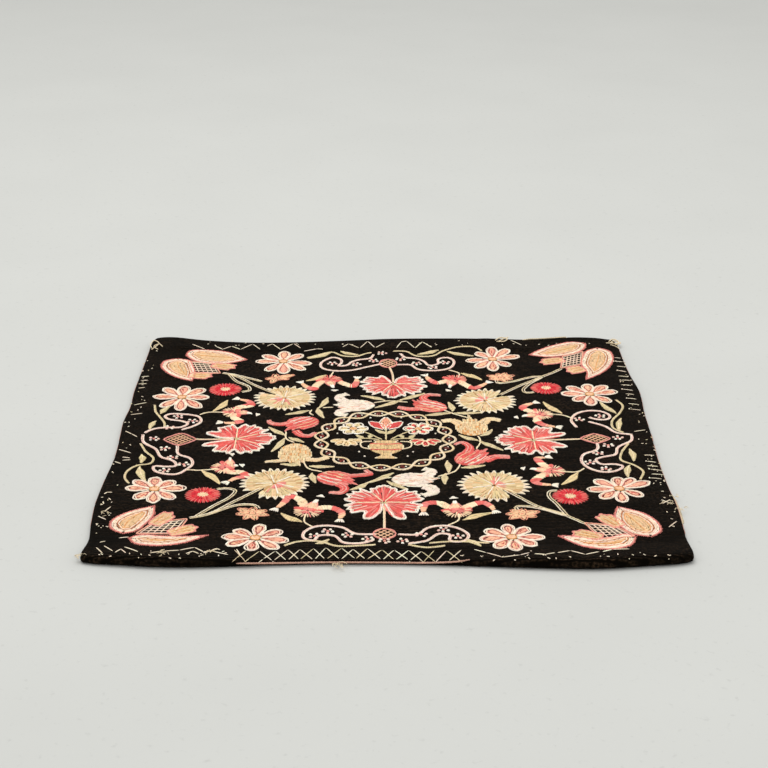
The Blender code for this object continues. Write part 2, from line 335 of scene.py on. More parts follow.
class Relief:
    """The cloth's face as a fine grid of heights, and where the line of sight through a place meets it."""

    def __init__(self):
        self.side = np.linspace(-RELIEF_REACH, RELIEF_REACH, RELIEF_CELLS + 1)
        self.step = self.side[1] - self.side[0]
        x, y = np.meshgrid(self.side, self.side, indexing="ij")
        self.height = face_height(x, y)
        self.slope_x, self.slope_y = np.gradient(self.height, self.step)
        self.seen_x, self.seen_y = self.look(x, y)

    def read(self, grid, x, y):
        i = np.clip((x + RELIEF_REACH) / self.step, 0, RELIEF_CELLS - 1e-6)
        j = np.clip((y + RELIEF_REACH) / self.step, 0, RELIEF_CELLS - 1e-6)
        i0, j0 = i.astype(int), j.astype(int)
        i, j = i - i0, j - j0
        near = grid[i0, j0] * (1 - i) + grid[i0 + 1, j0] * i
        far = grid[i0, j0 + 1] * (1 - i) + grid[i0 + 1, j0 + 1] * i
        return near * (1 - j) + far * j

    def look(self, x, y):
        """Follows the line of sight down through each place until it meets the cloth."""
        camera_x, camera_y, camera_z = CAMERA_SPOT

        def sight(z):
            share = (camera_z - z) / (camera_z - SEEN_LEVEL)
            return camera_x + (x - camera_x) * share, camera_y + (y - camera_y) * share

        low, top, found = np.zeros(x.shape), np.full(x.shape, 14 * MM), np.zeros(x.shape, bool)
        for z in np.arange(14, -0.1, -0.5) * MM:
            under = self.read(self.height, *sight(z)) >= z
            low = np.where(under & ~found, z, low)
            top = np.where(~under & ~found, z, top)
            found |= under
        for _ in range(8):
            z = (low + top) / 2
            under = self.read(self.height, *sight(z)) >= z
            low, top = np.where(under, z, low), np.where(under, top, z)
        return sight(low)

    def seen(self, points):
        """Points on the cloth, and the directions out of it, for places in mm on the level plane."""
        x, y = points[..., 0] * MM, points[..., 1] * MM
        on_x, on_y = self.read(self.seen_x, x, y), self.read(self.seen_y, x, y)
        z = self.read(self.height, on_x, on_y)
        out = np.stack((-self.read(self.slope_x, on_x, on_y), -self.read(self.slope_y, on_x, on_y),
                        np.ones(z.shape)), -1)
        return np.stack((on_x, on_y, z), -1), normed(out)


class Needle:
    """Collects the stitches of one piece: where each begins and ends, its yarn and its colour."""

    def __init__(self, seed):
        self.chance = np.random.default_rng(seed)
        self.starts, self.ends, self.shades, self.forms = [], [], [], []
        sizes = bpy.context.scene.cover_sizes
        self.yarn, self.rise, self.thin = sizes.yarn / MM, sizes.rise / MM, sizes.thin_yarn / MM

    def add(self, start, end, shade, width=None, rise=None, bow=0.0, lift=0.0):
        """Adds stitches from the rows of start to the rows of end. Their shades vary a little. bow is how far
        they bend aside and lift how far they lie above the others, in mm."""
        start, end = np.atleast_2d(start).astype(float), np.atleast_2d(end).astype(float)
        count = len(start)
        if not count:
            return
        stray = 1 + self.chance.normal(0, SHADE_STRAY, (count, 1))
        hue_stray = 1 + self.chance.normal(0, HUE_STRAY, (count, 3))
        shade = np.broadcast_to(np.array(shade, float), (count, 3)) * stray * hue_stray
        width = np.broadcast_to(self.yarn if width is None else width, (count,))
        rise = np.broadcast_to(self.rise if rise is None else rise, (count,))
        bow = np.broadcast_to(bow, (count,)) + self.chance.normal(0, 0.1, count)
        self.starts.append(start)
        self.ends.append(end)
        self.shades.append(np.clip(shade, 0, 1))
        self.forms.append(np.column_stack((width * self.chance.uniform(0.92, 1.08, count),
                                           rise * self.chance.uniform(0.85, 1.15, count), bow,
                                           np.broadcast_to(lift, (count,)))))

    def mesh(self, name):
        """All the stitches as one mesh with its colours and its two maps."""
        start, end = np.concatenate(self.starts), np.concatenate(self.ends)
        shade = np.concatenate(self.shades)
        width, rise, bow, lift = np.concatenate(self.forms).T
        count, rings, arch = len(start), len(STATIONS), len(ARCH)
        along = (end - start)[:, None] * STATIONS[None, :, None]
        length = np.maximum(np.hypot(*(end - start).T), 1e-6)
        left = np.column_stack((start[:, 1] - end[:, 1], end[:, 0] - start[:, 0])) / length[:, None]
        bend = bow[:, None] * 4 * STATIONS * (1 - STATIONS)
        spots, out = relief().seen(start[:, None] + along + left[:, None] * bend[..., None])
        way = spots[:, [1, 2, 3, 4, 4]] - spots[:, [0, 0, 1, 2, 3]]
        beside = normed(np.cross(way, out))
        one_side, other_side = (relief().seen((start + end) / 2 + left * hand)[0] for hand in (0.5, -0.5))
        stretch = np.clip(np.linalg.norm(one_side - other_side, axis=-1) / MM, 1.0, MOST_STRETCH)
        half = (width * stretch)[:, None] * FULLNESS / 2 * MM
        up = rise[:, None, None] * RISING[:, None] * np.cos(ARCH) - SINK
        up = (up + lift[:, None, None] * (0.35 + 0.65 * RISING[:, None])) * MM
        points = spots[:, :, None] + beside[:, :, None] * (half[..., None] * np.sin(ARCH))[..., None]
        points = points + out[:, :, None] * up[..., None]
        i, j = np.meshgrid(np.arange(rings - 1), np.arange(arch - 1), indexing="ij")
        first = (i * arch + j).ravel()
        quad = np.column_stack((first, first + 1, first + 1 + arch, first + arch))
        corners = (quad[None] + (np.arange(count) * rings * arch)[:, None, None]).reshape(-1, 4)
        mesh = mesh_from(name, points.reshape(-1, 3), corners)
        colours = np.ones((count, rings, arch, 4), np.float32)
        # Each stitch's dye times painted shade at its ends and sides, where it dips into the cloth
        colours[..., :3] = shade[:, None, None] * (SIDE_PAINTED_SHADE * END_PAINTED_SHADE[:, None])[None, :, :, None]
        mesh.color_attributes.new("wool", "FLOAT_COLOR", "POINT").data.foreach_set("color", colours.ravel())
        fraction = np.broadcast_to(np.linspace(0, 1, arch), (count, rings, arch))
        reach = np.broadcast_to((length[:, None] * STATIONS)[..., None], fraction.shape)
        put_map(mesh, "yarn", np.stack((reach, fraction), -1).reshape(-1, 2), corners)
        cells = math.ceil(math.sqrt(count))
        corner = np.column_stack(np.divmod(np.arange(count), cells))[:, None, None]
        inside = np.stack(np.meshgrid(np.linspace(0.12, 0.88, rings), np.linspace(0.12, 0.88, arch),
                                      indexing="ij"), -1)
        put_map(mesh, "OFBake", ((corner + inside) / cells).reshape(-1, 2), corners)
        mesh.uv_layers.active = mesh.uv_layers["yarn"]
        return mesh


def mesh_from(name, points, faces):
    """A smooth mesh from rows of points and rows of four corners."""
    mesh = bpy.data.meshes.new(name)
    mesh.vertices.add(len(points))
    mesh.vertices.foreach_set("co", np.ascontiguousarray(points, np.float32).ravel())
    mesh.loops.add(faces.size)
    mesh.loops.foreach_set("vertex_index", faces.astype(np.int32).ravel())
    mesh.polygons.add(len(faces))
    mesh.polygons.foreach_set("loop_start", np.arange(0, faces.size, 4, dtype=np.int32))
    mesh.polygons.foreach_set("use_smooth", np.ones(len(faces), bool))
    mesh.update(calc_edges=True)
    return mesh


def put_map(mesh, name, values, faces):
    """A map from one pair of values for each point."""
    layer = mesh.uv_layers.new(name=name)
    layer.uv.foreach_set("vector", values[faces.ravel()].astype(np.float32).ravel())


RELIEFS = {}


def relief():
    """The cloth's relief, made once for each strength of its fine waves."""
    strength = bpy.context.scene.cover_sizes.crinkle
    if strength not in RELIEFS:
        RELIEFS[strength] = Relief()
    return RELIEFS[strength]


def reach_along(line):
    """How far along a line each of its points is."""
    return np.concatenate(([0], np.cumsum(np.hypot(*np.diff(line, axis=0).T))))


def at_reach(line, reach, at):
    """The points that lie that far along a line."""
    return np.column_stack([np.interp(at, reach, p) for p in line.T])


def length_of(line):
    return np.hypot(*np.diff(line, axis=0).T).sum()


def closed(outline):
    """The same outline with its first point again at its end."""
    return np.vstack((outline, outline[:1]))


def curve(points, step=1.0):
    """Evenly spaced points on a smooth curve through the given ones."""
    points = np.array(points, float)
    reach = reach_along(points)
    at = np.linspace(0, reach[-1], max(2, int(round(reach[-1] / step)) + 1))
    return np.column_stack([along_rows(np.column_stack((reach, p)), at) for p in points.T])


def evenly(points, count):
    """The same line with that many evenly spaced points."""
    reach = reach_along(points)
    return at_reach(points, reach, np.linspace(0, reach[-1], count))


def unit_rows(rows):
    return rows / np.maximum(np.hypot(*rows.T), 1e-9)[:, None]


def left_of(way):
    """Directions turned a quarter round, anticlockwise."""
    return np.stack((-way[..., 1], way[..., 0]), -1)


def sideways(line):
    """Directions to the left of a line at each of its points."""
    return left_of(unit_rows(np.gradient(line, axis=0)))


def ways_round(outline):
    """Directions along a closed outline at each of its points."""
    return unit_rows(np.roll(outline, -1, axis=0) - np.roll(outline, 1, axis=0))


def unit(degrees):
    """Directions of length 1, anticlockwise from the right."""
    turn = np.radians(degrees)
    return np.stack((np.cos(turn), np.sin(turn)), -1)


def heading(way):
    """The degrees of a direction, anticlockwise from the right."""
    return math.degrees(math.atan2(way[1], way[0]))


def angle_apart(a, b):
    return abs((np.asarray(a) - b + 180) % 360 - 180)


def round_off(outline):
    """Softens the corners of an outline."""
    after = np.roll(outline, -1, axis=0)
    return np.column_stack((outline * 0.78 + after * 0.22, outline * 0.22 + after * 0.78)).reshape(-1, 2)


def blend(first, second, share):
    return np.array(first) * (1 - share) + np.array(second) * share


def either(mask, shade, other):
    """A row of colour for each place: shade where the mask holds, and other elsewhere."""
    return np.where(mask[:, None], shade, other)


def stem(needle, points, shade, width=None, length=4.4, aside=0.0, lift=0.0, straight=False, twist=0.26):
    """A line of stem stitch: each stitch starts beside the middle of the one before."""
    line = np.array(points, float) if straight else curve(points, 1.0)
    line = evenly(line, max(3, int(round(length_of(line) / (length * 0.55))) + 1))
    left = sideways(line)
    line = line + left * aside
    slant = twist * (needle.yarn if width is None else width)
    needle.add(line[:-2] - left[:-2] * slant, line[2:] + left[2:] * slant, shade, width, lift=lift)


def cut_rows(needle, line, length):
    """Cuts a line into stitches of about that length, and gives their starts and ends."""
    reach = reach_along(line)
    total = reach[-1]
    if total < 1.2:
        return np.zeros((0, 2)), np.zeros((0, 2))
    count = max(1, int(round(total / length)))
    cuts = np.linspace(0, total, count + 1)
    cuts[1:-1] += needle.chance.uniform(-0.3, 0.3, count - 1) * total / count
    start, end = np.maximum(cuts[:-1] - 0.6, 0), np.minimum(cuts[1:] + 0.6, total)
    return at_reach(line, reach, start), at_reach(line, reach, end)


def distance_to(points, outline):
    """How far each point is from a closed outline."""
    a, b = outline, np.roll(outline, -1, axis=0)
    along = b - a
    square = np.maximum((along**2).sum(1), 1e-12)
    t = np.clip(((points[:, None] - a) * along).sum(-1) / square, 0, 1)
    nearest = a + t[..., None] * along
    return np.sqrt(((points[:, None] - nearest) ** 2).sum(-1)).min(1)


def nested_rows(needle, left, right, bands, pitch=1.3, length=6.5, fringe=None):
    """Fills a petal with rows that follow its edge, each one yarn further in. left and right are its edges
    from one end to the other, and bands are (depth to which it reaches, shade and, if not usual, width). A
    fringe is the shade of the short stitches that overlap its edge."""
    outline = np.concatenate((left, right[::-1][1:]))
    outline = evenly(closed(outline), max(30, int(distance_round(outline) / 0.9)))[:-1]
    inwards = left_of(ways_round(outline)) * np.sign(signed_area(outline))
    depth, number = pitch * 0.5, 0
    while depth < 40:
        _, shade, *width = next((band for band in bands if depth <= band[0]), bands[-1])
        line = outline + inwards * depth
        inside = distance_to(line, outline) > depth * (0.93 if number < 2 else 0.84)
        if inside.sum() < 3:
            break
        first = int(np.argmin(inside)) if not inside.all() else 0
        line, inside = np.roll(line, -first, axis=0), np.roll(inside, -first)
        if inside.all():
            line, inside = closed(line), np.append(inside, True)
        for part in runs(inside):
            if len(part) > 1:
                start, end = cut_rows(needle, line[part], length if number else length * 0.75)
                needle.add(start, end, shade, *width)
        depth += pitch
        number += 1
    if fringe is not None:
        rim = evenly(closed(outline), int(distance_round(outline) / 1.7))[:-1]
        way = ways_round(rim)
        out = -left_of(way) * np.sign(signed_area(rim))
        reach = needle.chance.uniform(0.5, 1.4, (len(rim), 1))
        needle.add(rim - out * 1.2 - way * 0.5, rim + out * reach + way * 0.5, fringe, 0.95, 0.7, 0, 0.1)


def signed_area(outline):
    x, y = outline.T
    return 0.5 * (x * np.roll(y, -1) - np.roll(x, -1) * y).sum()


def distance_round(outline):
    return length_of(closed(outline))


def runs(mask):
    """The runs of places where the mask holds."""
    places = np.flatnonzero(mask)
    return np.split(places, np.flatnonzero(np.diff(places) > 1) + 1) if len(places) else []


def filled_rows(needle, outline, degrees, shade_at, pitch=1.3, length=7.0):
    """Fills a closed outline with straight rows in one direction. shade_at takes places and their depths."""
    turn = np.array((unit(degrees), left_of(unit(degrees))))
    flat = outline @ turn.T
    after = np.roll(flat, -1, axis=0)
    for level in np.arange(flat[:, 1].min() + pitch * 0.45, flat[:, 1].max(), pitch):
        crossing = (flat[:, 1] <= level) != (after[:, 1] <= level)
        a, b = flat[crossing], after[crossing]
        if len(a) < 2:
            continue
        places = np.sort(a[:, 0] + (level - a[:, 1]) / (b[:, 1] - a[:, 1]) * (b[:, 0] - a[:, 0]))
        for begin, finish in zip(places[::2], places[1::2]):
            if finish - begin < 1.3:
                continue
            line = np.column_stack((np.linspace(begin, finish, 12), np.full(12, level))) @ turn
            start, end = cut_rows(needle, line, length)
            if len(start):
                middle = (start + end) / 2
                needle.add(start, end, shade_at(middle, distance_to(middle, outline)))


def petal_edges(base, tip, half, fullest=0.62, foot=0.3, point=0.0, bend=0.0, least=None):
    """The two edges of a petal from its base to its tip. point is 0 for a round tip and 1 for a sharp one.
    least gives the room that it has to each side, that far along it."""
    base, tip = np.array(base, float), np.array(tip, float)
    t = 1 - (1 - np.linspace(0, 1, 40)) ** 1.6
    before = foot + (1 - foot) * smooth_step(0, fullest, t)
    rounded = np.sqrt(np.clip(1 - ((t - fullest) / (1 - fullest)) ** 2, 0, 1))
    sharp = np.clip((1 - t) / (1 - fullest), 0, 1) ** 0.85
    after = rounded * (1 - point) + sharp * point
    width = half * np.where(t < fullest, before, after)
    if least is not None:
        width = np.minimum(width, least(t * np.hypot(*(tip - base))))
    way = tip - base
    left = left_of(way) / np.hypot(*way)
    spine = base + way * t[:, None] + left * (bend * 4 * t * (1 - t))[:, None]
    return spine + left * width[:, None], spine - left * width[:, None]


def satin(needle, left, right, shade, pitch=1.25, slant=0.12):
    """Slanting stitches from one edge to the other. A shade may be a function of how far along they are."""
    count = max(4, int(max(length_of(left), length_of(right)) / pitch))
    left, right = evenly(left, count), evenly(right, count)
    skip = max(1, int(round(slant * count)))
    start, end = left[:-skip], right[skip:]
    share = np.linspace(0, 1, len(start))
    shades = np.array([shade(t) if callable(shade) else tuple(shade) for t in share])
    split = np.hypot(*(end - start).T) > LONGEST_STITCH
    cut = start + (end - start) * (0.5 + needle.chance.uniform(-0.12, 0.12, len(start)))[:, None]
    for first, last, which in ((start, end, ~split), (start, cut, split), (cut, end, split)):
        needle.add(first[which], last[which], shades[which])


def leaf(needle, base, tip, half, shade, bend=0.0, vein=None):
    """A pointed leaf in slanting satin stitch."""
    left, right = petal_edges(base, tip, half, 0.42, 0.12, 0.8, bend)
    satin(needle, left, right, shade)
    if vein is not None:
        middle = (left + right) / 2
        stem(needle, middle[2:-6:4], vein, 0.9, 4.0, 0, 0.45)


def stroke(needle, points, widths, shades):
    """A tapering band of satin stitch along a line, its shade changing from one to the next along it."""
    line = curve(points, 0.8)
    place = np.linspace(0, 1, len(line))
    half = np.interp(place, np.linspace(0, 1, len(widths)), widths) / 2
    left = sideways(line)
    stops = np.linspace(0, 1, len(shades) + 1)[1:-1]
    ragged = needle.chance.normal(0, 0.05 * half.max(), (2, len(line)))
    satin(needle, line + left * (half + ragged[0])[:, None], line - left * (half + ragged[1])[:, None],
          lambda t: shades[int(np.searchsorted(stops, t + needle.chance.uniform(-0.04, 0.04)))], 1.15, 0.05)


def fan(needle, centre, rim, zones, shade_at, pitch=1.45):
    """Rays of long and short stitch round a centre. rim gives the radius for angles in degrees, zones are
    (inner, outer) shares of it, and shade_at takes the shares and the angles of the stitches."""
    centre = np.array(centre, float)
    for inner, outer in zones:
        typical = float(np.mean(rim(np.arange(0, 360, 5)))) * (outer * 0.72 + inner * 0.28)
        count = int(2 * math.pi * typical / pitch)
        angles = (np.arange(count) + needle.chance.uniform(-0.25, 0.25, count)) * 360 / count
        radius = rim(angles)
        keep = radius > 2
        angles, radius = angles[keep], radius[keep]
        start = radius * (inner + needle.chance.uniform(-0.1, 0.0, len(angles)) * (inner > 0.1))
        end = radius * (outer + needle.chance.uniform(-0.02, 0.06, len(angles)) * (outer < 0.97))
        ray = unit(angles)
        needle.add(centre + ray * start[:, None], centre + ray * end[:, None],
                   shade_at((start + end) / 2 / radius, angles), lift=0.1 * (1 - outer))


def button(needle, centre, radius, shade, pitch=1.1):
    """The small round middle of a flower."""
    fan(needle, centre, lambda a: np.full(np.shape(a), radius), ((0.0, 1.0),), lambda r, a: shade, pitch)


def net(needle, corners, shade, edge, across, along, width=1.0):
    """A couched net over a four-cornered field, with an outline."""
    a, b, c, d = np.array(corners, float)
    for share in (np.arange(across) + 0.5) / across:
        needle.add(a + (b - a) * share, d + (c - d) * share, shade, width, 0.6, 0, 0.0)
    for share in (np.arange(along) + 0.5) / along:
        needle.add(a + (d - a) * share, b + (c - b) * share, shade, width, 0.6, 0, 0.35)
    for first, last in ((a, b), (b, c), (c, d), (d, a)):
        stem(needle, (first, last), edge, 1.3, 3.6, 0, 0.2)


def round_net(needle, centre, wide, deep, shade, edge, gap=4.2, power=2.0):
    """A couched net in a round or diamond field. power is 2 for an oval and 1 for a diamond."""
    centre = np.array(centre, float)
    turn = np.linspace(0, 2 * math.pi, 49)
    rim = np.column_stack((np.sign(np.cos(turn)) * abs(np.cos(turn)) ** (2 / power) * wide,
                           np.sign(np.sin(turn)) * abs(np.sin(turn)) ** (2 / power) * deep))
    for degrees in (45, -45):
        way = unit(degrees)
        for place in np.arange(-3, 4) * gap:
            line = left_of(way) * place + way * np.linspace(-30, 30, 241)[:, None]
            inside = (abs(line[:, 0] / wide) ** power + abs(line[:, 1] / deep) ** power) < 0.96
            if inside.sum() > 6:
                ends = line[inside][[0, -1]]
                needle.add(centre + ends[0], centre + ends[1], shade, 1.0, 0.6, 0, 0.25 * (degrees > 0))
    stem(needle, centre + rim, edge, 1.35, 3.4, 0, 0.15, True)


def berries(needle, spot, light, dark, size=1.0):
    """A cluster of five pale knots round a dark one."""
    spot = np.array(spot, float)
    turn = needle.chance.uniform(0, 360)
    needle.add(spot - (0.9 * size, 0.2), spot + (0.9 * size, 0.2), dark, 1.9 * size, 1.0)
    for i in range(5):
        way = unit(turn + i * 72 + needle.chance.uniform(-14, 14))
        at = spot + way * (1.15, 1) * 2.45 * size
        over = left_of(way) * 0.9 * size
        needle.add(at - over, at + over, light[i % len(light)], 2.1 * size, 1.15)


def tuft(needle, points, shade, back, ahead, foot, spread, width):
    """Five stitches past the end of a line, from half a foot aside of it to half a spread aside."""
    tip, before = (np.array(p, float) for p in (points[-1], points[-2]))
    way = unit_rows((tip - before)[None])[0]
    side = left_of(way) * np.array(((-1.0,), (-0.55,), (0.0,), (0.55,), (1.0,)))
    needle.add(tip - way * back + side * foot, tip + way * ahead + side * spread, shade, width)


def knots(needle, spots, shade, size=1.5):
    """Small separate knots."""
    spots = np.array(spots, float)
    turn = needle.chance.uniform(0, 2 * math.pi, len(spots))
    over = np.column_stack((np.cos(turn), np.sin(turn))) * size * 0.45
    needle.add(spots - over, spots + over, shade, size, size * 0.6)


def new_material(name, roughness, specular, sheen=0.0):
    """A material, its node tree and its shader, with that much shine and light in its fibres."""
    material = bpy.data.materials.new(name)
    material.use_nodes = True
    tree = material.node_tree
    shader = tree.nodes["Principled BSDF"]
    shader.inputs["Roughness"].default_value = roughness
    shader.inputs["Specular IOR Level"].default_value = specular
    shader.inputs["Sheen Weight"].default_value = sheen
    return material, tree, shader


def add_node(tree, kind, **inputs):
    """Adds a shader node. Keys are its own settings, or its inputs' names with _ for a space."""
    made = tree.nodes.new(kind)
    for key, value in inputs.items():
        if hasattr(made, key):
            setattr(made, key, value)
        else:
            made.inputs[key.replace("_", " ")].default_value = value
    return made


def mix_colours(tree, share, first, second, blend_type="MIX"):
    made = tree.nodes.new("ShaderNodeMix")
    made.data_type = "RGBA"
    made.blend_type = blend_type
    for socket, value in zip((made.inputs[0], made.inputs[6], made.inputs[7]), (share, first, second)):
        if isinstance(value, bpy.types.NodeSocket):
            tree.links.new(value, socket)
        else:
            socket.default_value = (*value, 1) if isinstance(value, tuple) else value
    return made.outputs[2]


def ramp(tree, source, low, high):
    """0 below low and 1 above high."""
    made = add_node(tree, "ShaderNodeMapRange", From_Min=low, From_Max=high)
    made.clamp = True
    tree.links.new(source, made.inputs["Value"])
    return made.outputs["Result"]


def add_up(tree, first, second, weight):
    """first plus second times a weight."""
    made = add_node(tree, "ShaderNodeMath", operation="MULTIPLY_ADD")
    tree.links.new(second, made.inputs[0])
    made.inputs[1].default_value = weight
    tree.links.new(first, made.inputs[2])
    return made.outputs[0]


def bump(tree, shader, height, strength, distance):
    made = add_node(tree, "ShaderNodeBump", Strength=strength, Distance=distance)
    tree.links.new(height, made.inputs["Height"])
    tree.links.new(made.outputs["Normal"], shader.inputs["Normal"])


def grain(tree, scale, detail=3.0, stretch=(1, 1, 1)):
    """Noise fixed to the object."""
    place = tree.nodes.new("ShaderNodeTexCoord")
    mapping = add_node(tree, "ShaderNodeMapping", Scale=stretch)
    tree.links.new(place.outputs["Object"], mapping.inputs["Vector"])
    made = add_node(tree, "ShaderNodeTexNoise", Scale=scale, Detail=detail)
    tree.links.new(mapping.outputs["Vector"], made.inputs["Vector"])
    return made.outputs["Fac"]


def ribs(tree, direction, per_metre, stray=1.2):
    """Fine ribs of thread across one direction, a little uneven."""
    place = tree.nodes.new("ShaderNodeTexCoord")
    made = add_node(tree, "ShaderNodeTexWave", bands_direction=direction, Scale=per_metre / 20 * math.pi,
                    Distortion=stray, Detail=2.0, Detail_Scale=1.5)
    tree.links.new(place.outputs["Object"], made.inputs["Vector"])
    return made.outputs["Fac"]


def embroidery_wool():
    """Two-ply worsted: each stitch's dye and painted shade, the slant of its ply and its fibres."""
    material = bpy.data.materials.get("embroidery_wool")
    if material:
        return material
    material, tree, shader = new_material("embroidery_wool", 0.82, 0.15, 0.03)
    # The wool colours hold each stitch's dye together with painted shade at its ends and sides
    dyed = add_node(tree, "ShaderNodeVertexColor", layer_name="wool")
    patches = ramp(tree, grain(tree, 260, 4), 0.35, 0.75)
    faded = mix_colours(tree, patches, (0.86, 0.84, 0.80), (1.0, 1.0, 1.0))
    shade = mix_colours(tree, 1.0, dyed.outputs["Color"], faded, "MULTIPLY")
    tree.links.new(shade, shader.inputs["Base Color"])
    place = add_node(tree, "ShaderNodeUVMap", uv_map="yarn")
    parts = tree.nodes.new("ShaderNodeSeparateXYZ")
    tree.links.new(place.outputs["UV"], parts.inputs[0])
    slant = add_up(tree, parts.outputs["X"], parts.outputs["Y"], 1.6)
    turns = add_node(tree, "ShaderNodeMath", operation="MULTIPLY")
    turns.inputs[1].default_value = 3.4
    tree.links.new(slant, turns.inputs[0])
    ply = add_node(tree, "ShaderNodeMath", operation="SINE")
    tree.links.new(turns.outputs[0], ply.inputs[0])
    bump(tree, shader, add_up(tree, ply.outputs[0], grain(tree, 2600, 2), 1.2), 0.55, 0.18 * MM)
    return material


def black_wool(finish):
    """Fulled wool: fine ribs under a matted nap, painted shade between the ribs, browner where it is worn."""
    material, tree, shader = new_material("black_wool", 0.95, 0.03, 0.006)
    nap = grain(tree, 430, 5)
    wear = grain(tree, 16, 5, (0.8, 1.3, 1))
    weft = ribs(tree, "Y", 720, 2.2)
    fine = mix_colours(tree, ramp(tree, nap, 0.42, 0.74), tuple(finish.ground), tuple(finish.worn))
    rubbed = mix_colours(tree, ramp(tree, wear, 0.34, 0.66), tuple(c * 1.6 for c in finish.ground), fine)
    # Painted shade: the wool is darker in the hollows between the ribs
    ribs_with_painted_shade = mix_colours(tree, ramp(tree, weft, 0.25, 1.0), tuple(c * 0.75 for c in finish.ground), rubbed)
    tree.links.new(ribs_with_painted_shade, shader.inputs["Base Color"])
    height = add_up(tree, weft, nap, 0.9)
    height = add_up(tree, height, grain(tree, 60, 5, (0.5, 1.6, 1)), 3.5)
    bump(tree, shader, height, 0.8, 0.6 * MM)
    return material


def plain_linen(finish):
    """Plain weave with slubs."""
    material, tree, shader = new_material("unbleached_linen", 0.88, 0.25, 0.05)
    weave = add_up(tree, ribs(tree, "X", 900, 1.4), ribs(tree, "Y", 900, 1.4), 1.0)
    shadow = tuple(c * 0.66 for c in finish.linen)
    threads = mix_colours(tree, ramp(tree, weave, 0.4, 1.5), shadow, tuple(finish.linen))
    slubs = mix_colours(tree, ramp(tree, grain(tree, 90, 4, (0.3, 2.5, 1)), 0.45, 0.8), (1.0, 1.0, 1.0),
                        (0.80, 0.74, 0.64))
    tree.links.new(mix_colours(tree, 1.0, threads, slubs, "MULTIPLY"), shader.inputs["Base Color"])
    bump(tree, shader, weave, 0.6, 0.3 * MM)
    return material


def spun_wool(name, colour, dark):
    """Yarn of one dye with streaks of fibre."""
    material, tree, shader = new_material(name, 0.88, 0.2, 0.1)
    streaks = grain(tree, 420, 4)
    shade = mix_colours(tree, ramp(tree, streaks, 0.3, 0.7), tuple(c * dark for c in colour), tuple(colour))
    tree.links.new(shade, shader.inputs["Base Color"])
    bump(tree, shader, grain(tree, 2400, 3), 0.6, 0.2 * MM)
    return material


def place_piece(name, mesh, material):
    """Puts a piece on the part's body."""
    piece = bpy.data.objects.new(name, mesh)
    bpy.context.scene.collection.objects.link(piece)
    mesh.materials.append(material)
    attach(piece, "root")
    return piece


def embroider(needle, name):
    return place_piece(name, needle.mesh(name), embroidery_wool())


def crowd(t):
    """Moves the rows of a grid towards its edges."""
    return (1 - EDGE_CROWDING) * t + EDGE_CROWDING * np.sin(math.pi * t / 2)


def edge_walk(count):
    """The order in which the edge of a grid with that many points a side is walked, anticlockwise."""
    grid = np.arange(count * count).reshape(count, count)
    return np.concatenate((grid[:-1, 0], grid[-1, :-1], grid[:0:-1, -1], grid[0, :0:-1]))


def grid_faces(count):
    grid = np.arange(count * count).reshape(count, count)
    return np.column_stack((grid[:-1, :-1].ravel(), grid[1:, :-1].ravel(), grid[1:, 1:].ravel(),
                            grid[:-1, 1:].ravel()))


def draw_out(points, faces, walk, rings):
    """Adds closed rings of points beyond the walked edge."""
    last = walk
    for ring in rings:
        new = np.arange(len(points), len(points) + len(walk))
        faces = np.vstack((faces, np.column_stack((last, new, np.roll(new, -1), np.roll(last, -1)))))
        points, last = np.vstack((points, ring)), new
    return points, faces


def fold_and_hem(u, v):
    """The rings that go round the fold and under it."""
    rings = []
    for step in range(1, FOLD_STEPS + 1):
        rings.append(np.column_stack(fold_point(u, v, 90 - 180 * step / FOLD_STEPS)))
    for inset in HEM_STEPS:
        x, y = plan(u * (1 - inset * MM / HALF_WIDTH), v * (1 - inset * MM / HALF_LENGTH))
        climb = (LINING + GAP) * smooth_step(2, 7, inset)
        rings.append(np.column_stack((x, y, CLOTH / 2 + np.maximum(fold_lift(u, v), climb))))
    return rings


def crowded_grid(count):
    """The u and v of a grid with that many points a side."""
    side = crowd(np.linspace(-1, 1, count))
    return (grid.ravel() for grid in np.meshgrid(side, side, indexing="ij"))


def thicken(piece, thickness):
    solid = piece.modifiers.new("thickness", "SOLIDIFY")
    solid.thickness = thickness
    solid.offset = 0


def make_front_cloth():
    """The black wool, with its fine waves, folds and hems."""
    count = CLOTH_CELLS + 1
    u, v = crowded_grid(count)
    x, y = plan(u, v)
    points = np.column_stack((x, y, cloth_height(u, v) + crinkles(u, v)))
    walk = edge_walk(count)
    points, faces = draw_out(points, grid_faces(count), walk, fold_and_hem(u[walk], v[walk]))
    cloth = place_piece("wool_front", mesh_from("wool_front", points, faces),
                        black_wool(bpy.context.scene.cover_finish))
    thicken(cloth, CLOTH)
    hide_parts("front_cloth")


def slip_reach(side, place):
    """How far the lining's edge lies outside the fold's line, less than 0 where it is set in."""
    reach = np.full(place.shape, -LINING_INSET)
    for slip_side, start, end, out in LINING_SLIPS:
        if slip_side == side:
            window = slip_window(place, start, end, SLIP_RAMP, SLIP_RAMP)
            u, v = (1, place / HALF_LENGTH) if side == "right" else (place / HALF_WIDTH, 1)
            fold = fold_radius(u, v)[0] + CLOTH / 2
            reach = np.maximum(reach, (out * MM + fold + LINING_INSET) * window - LINING_INSET)
    return reach


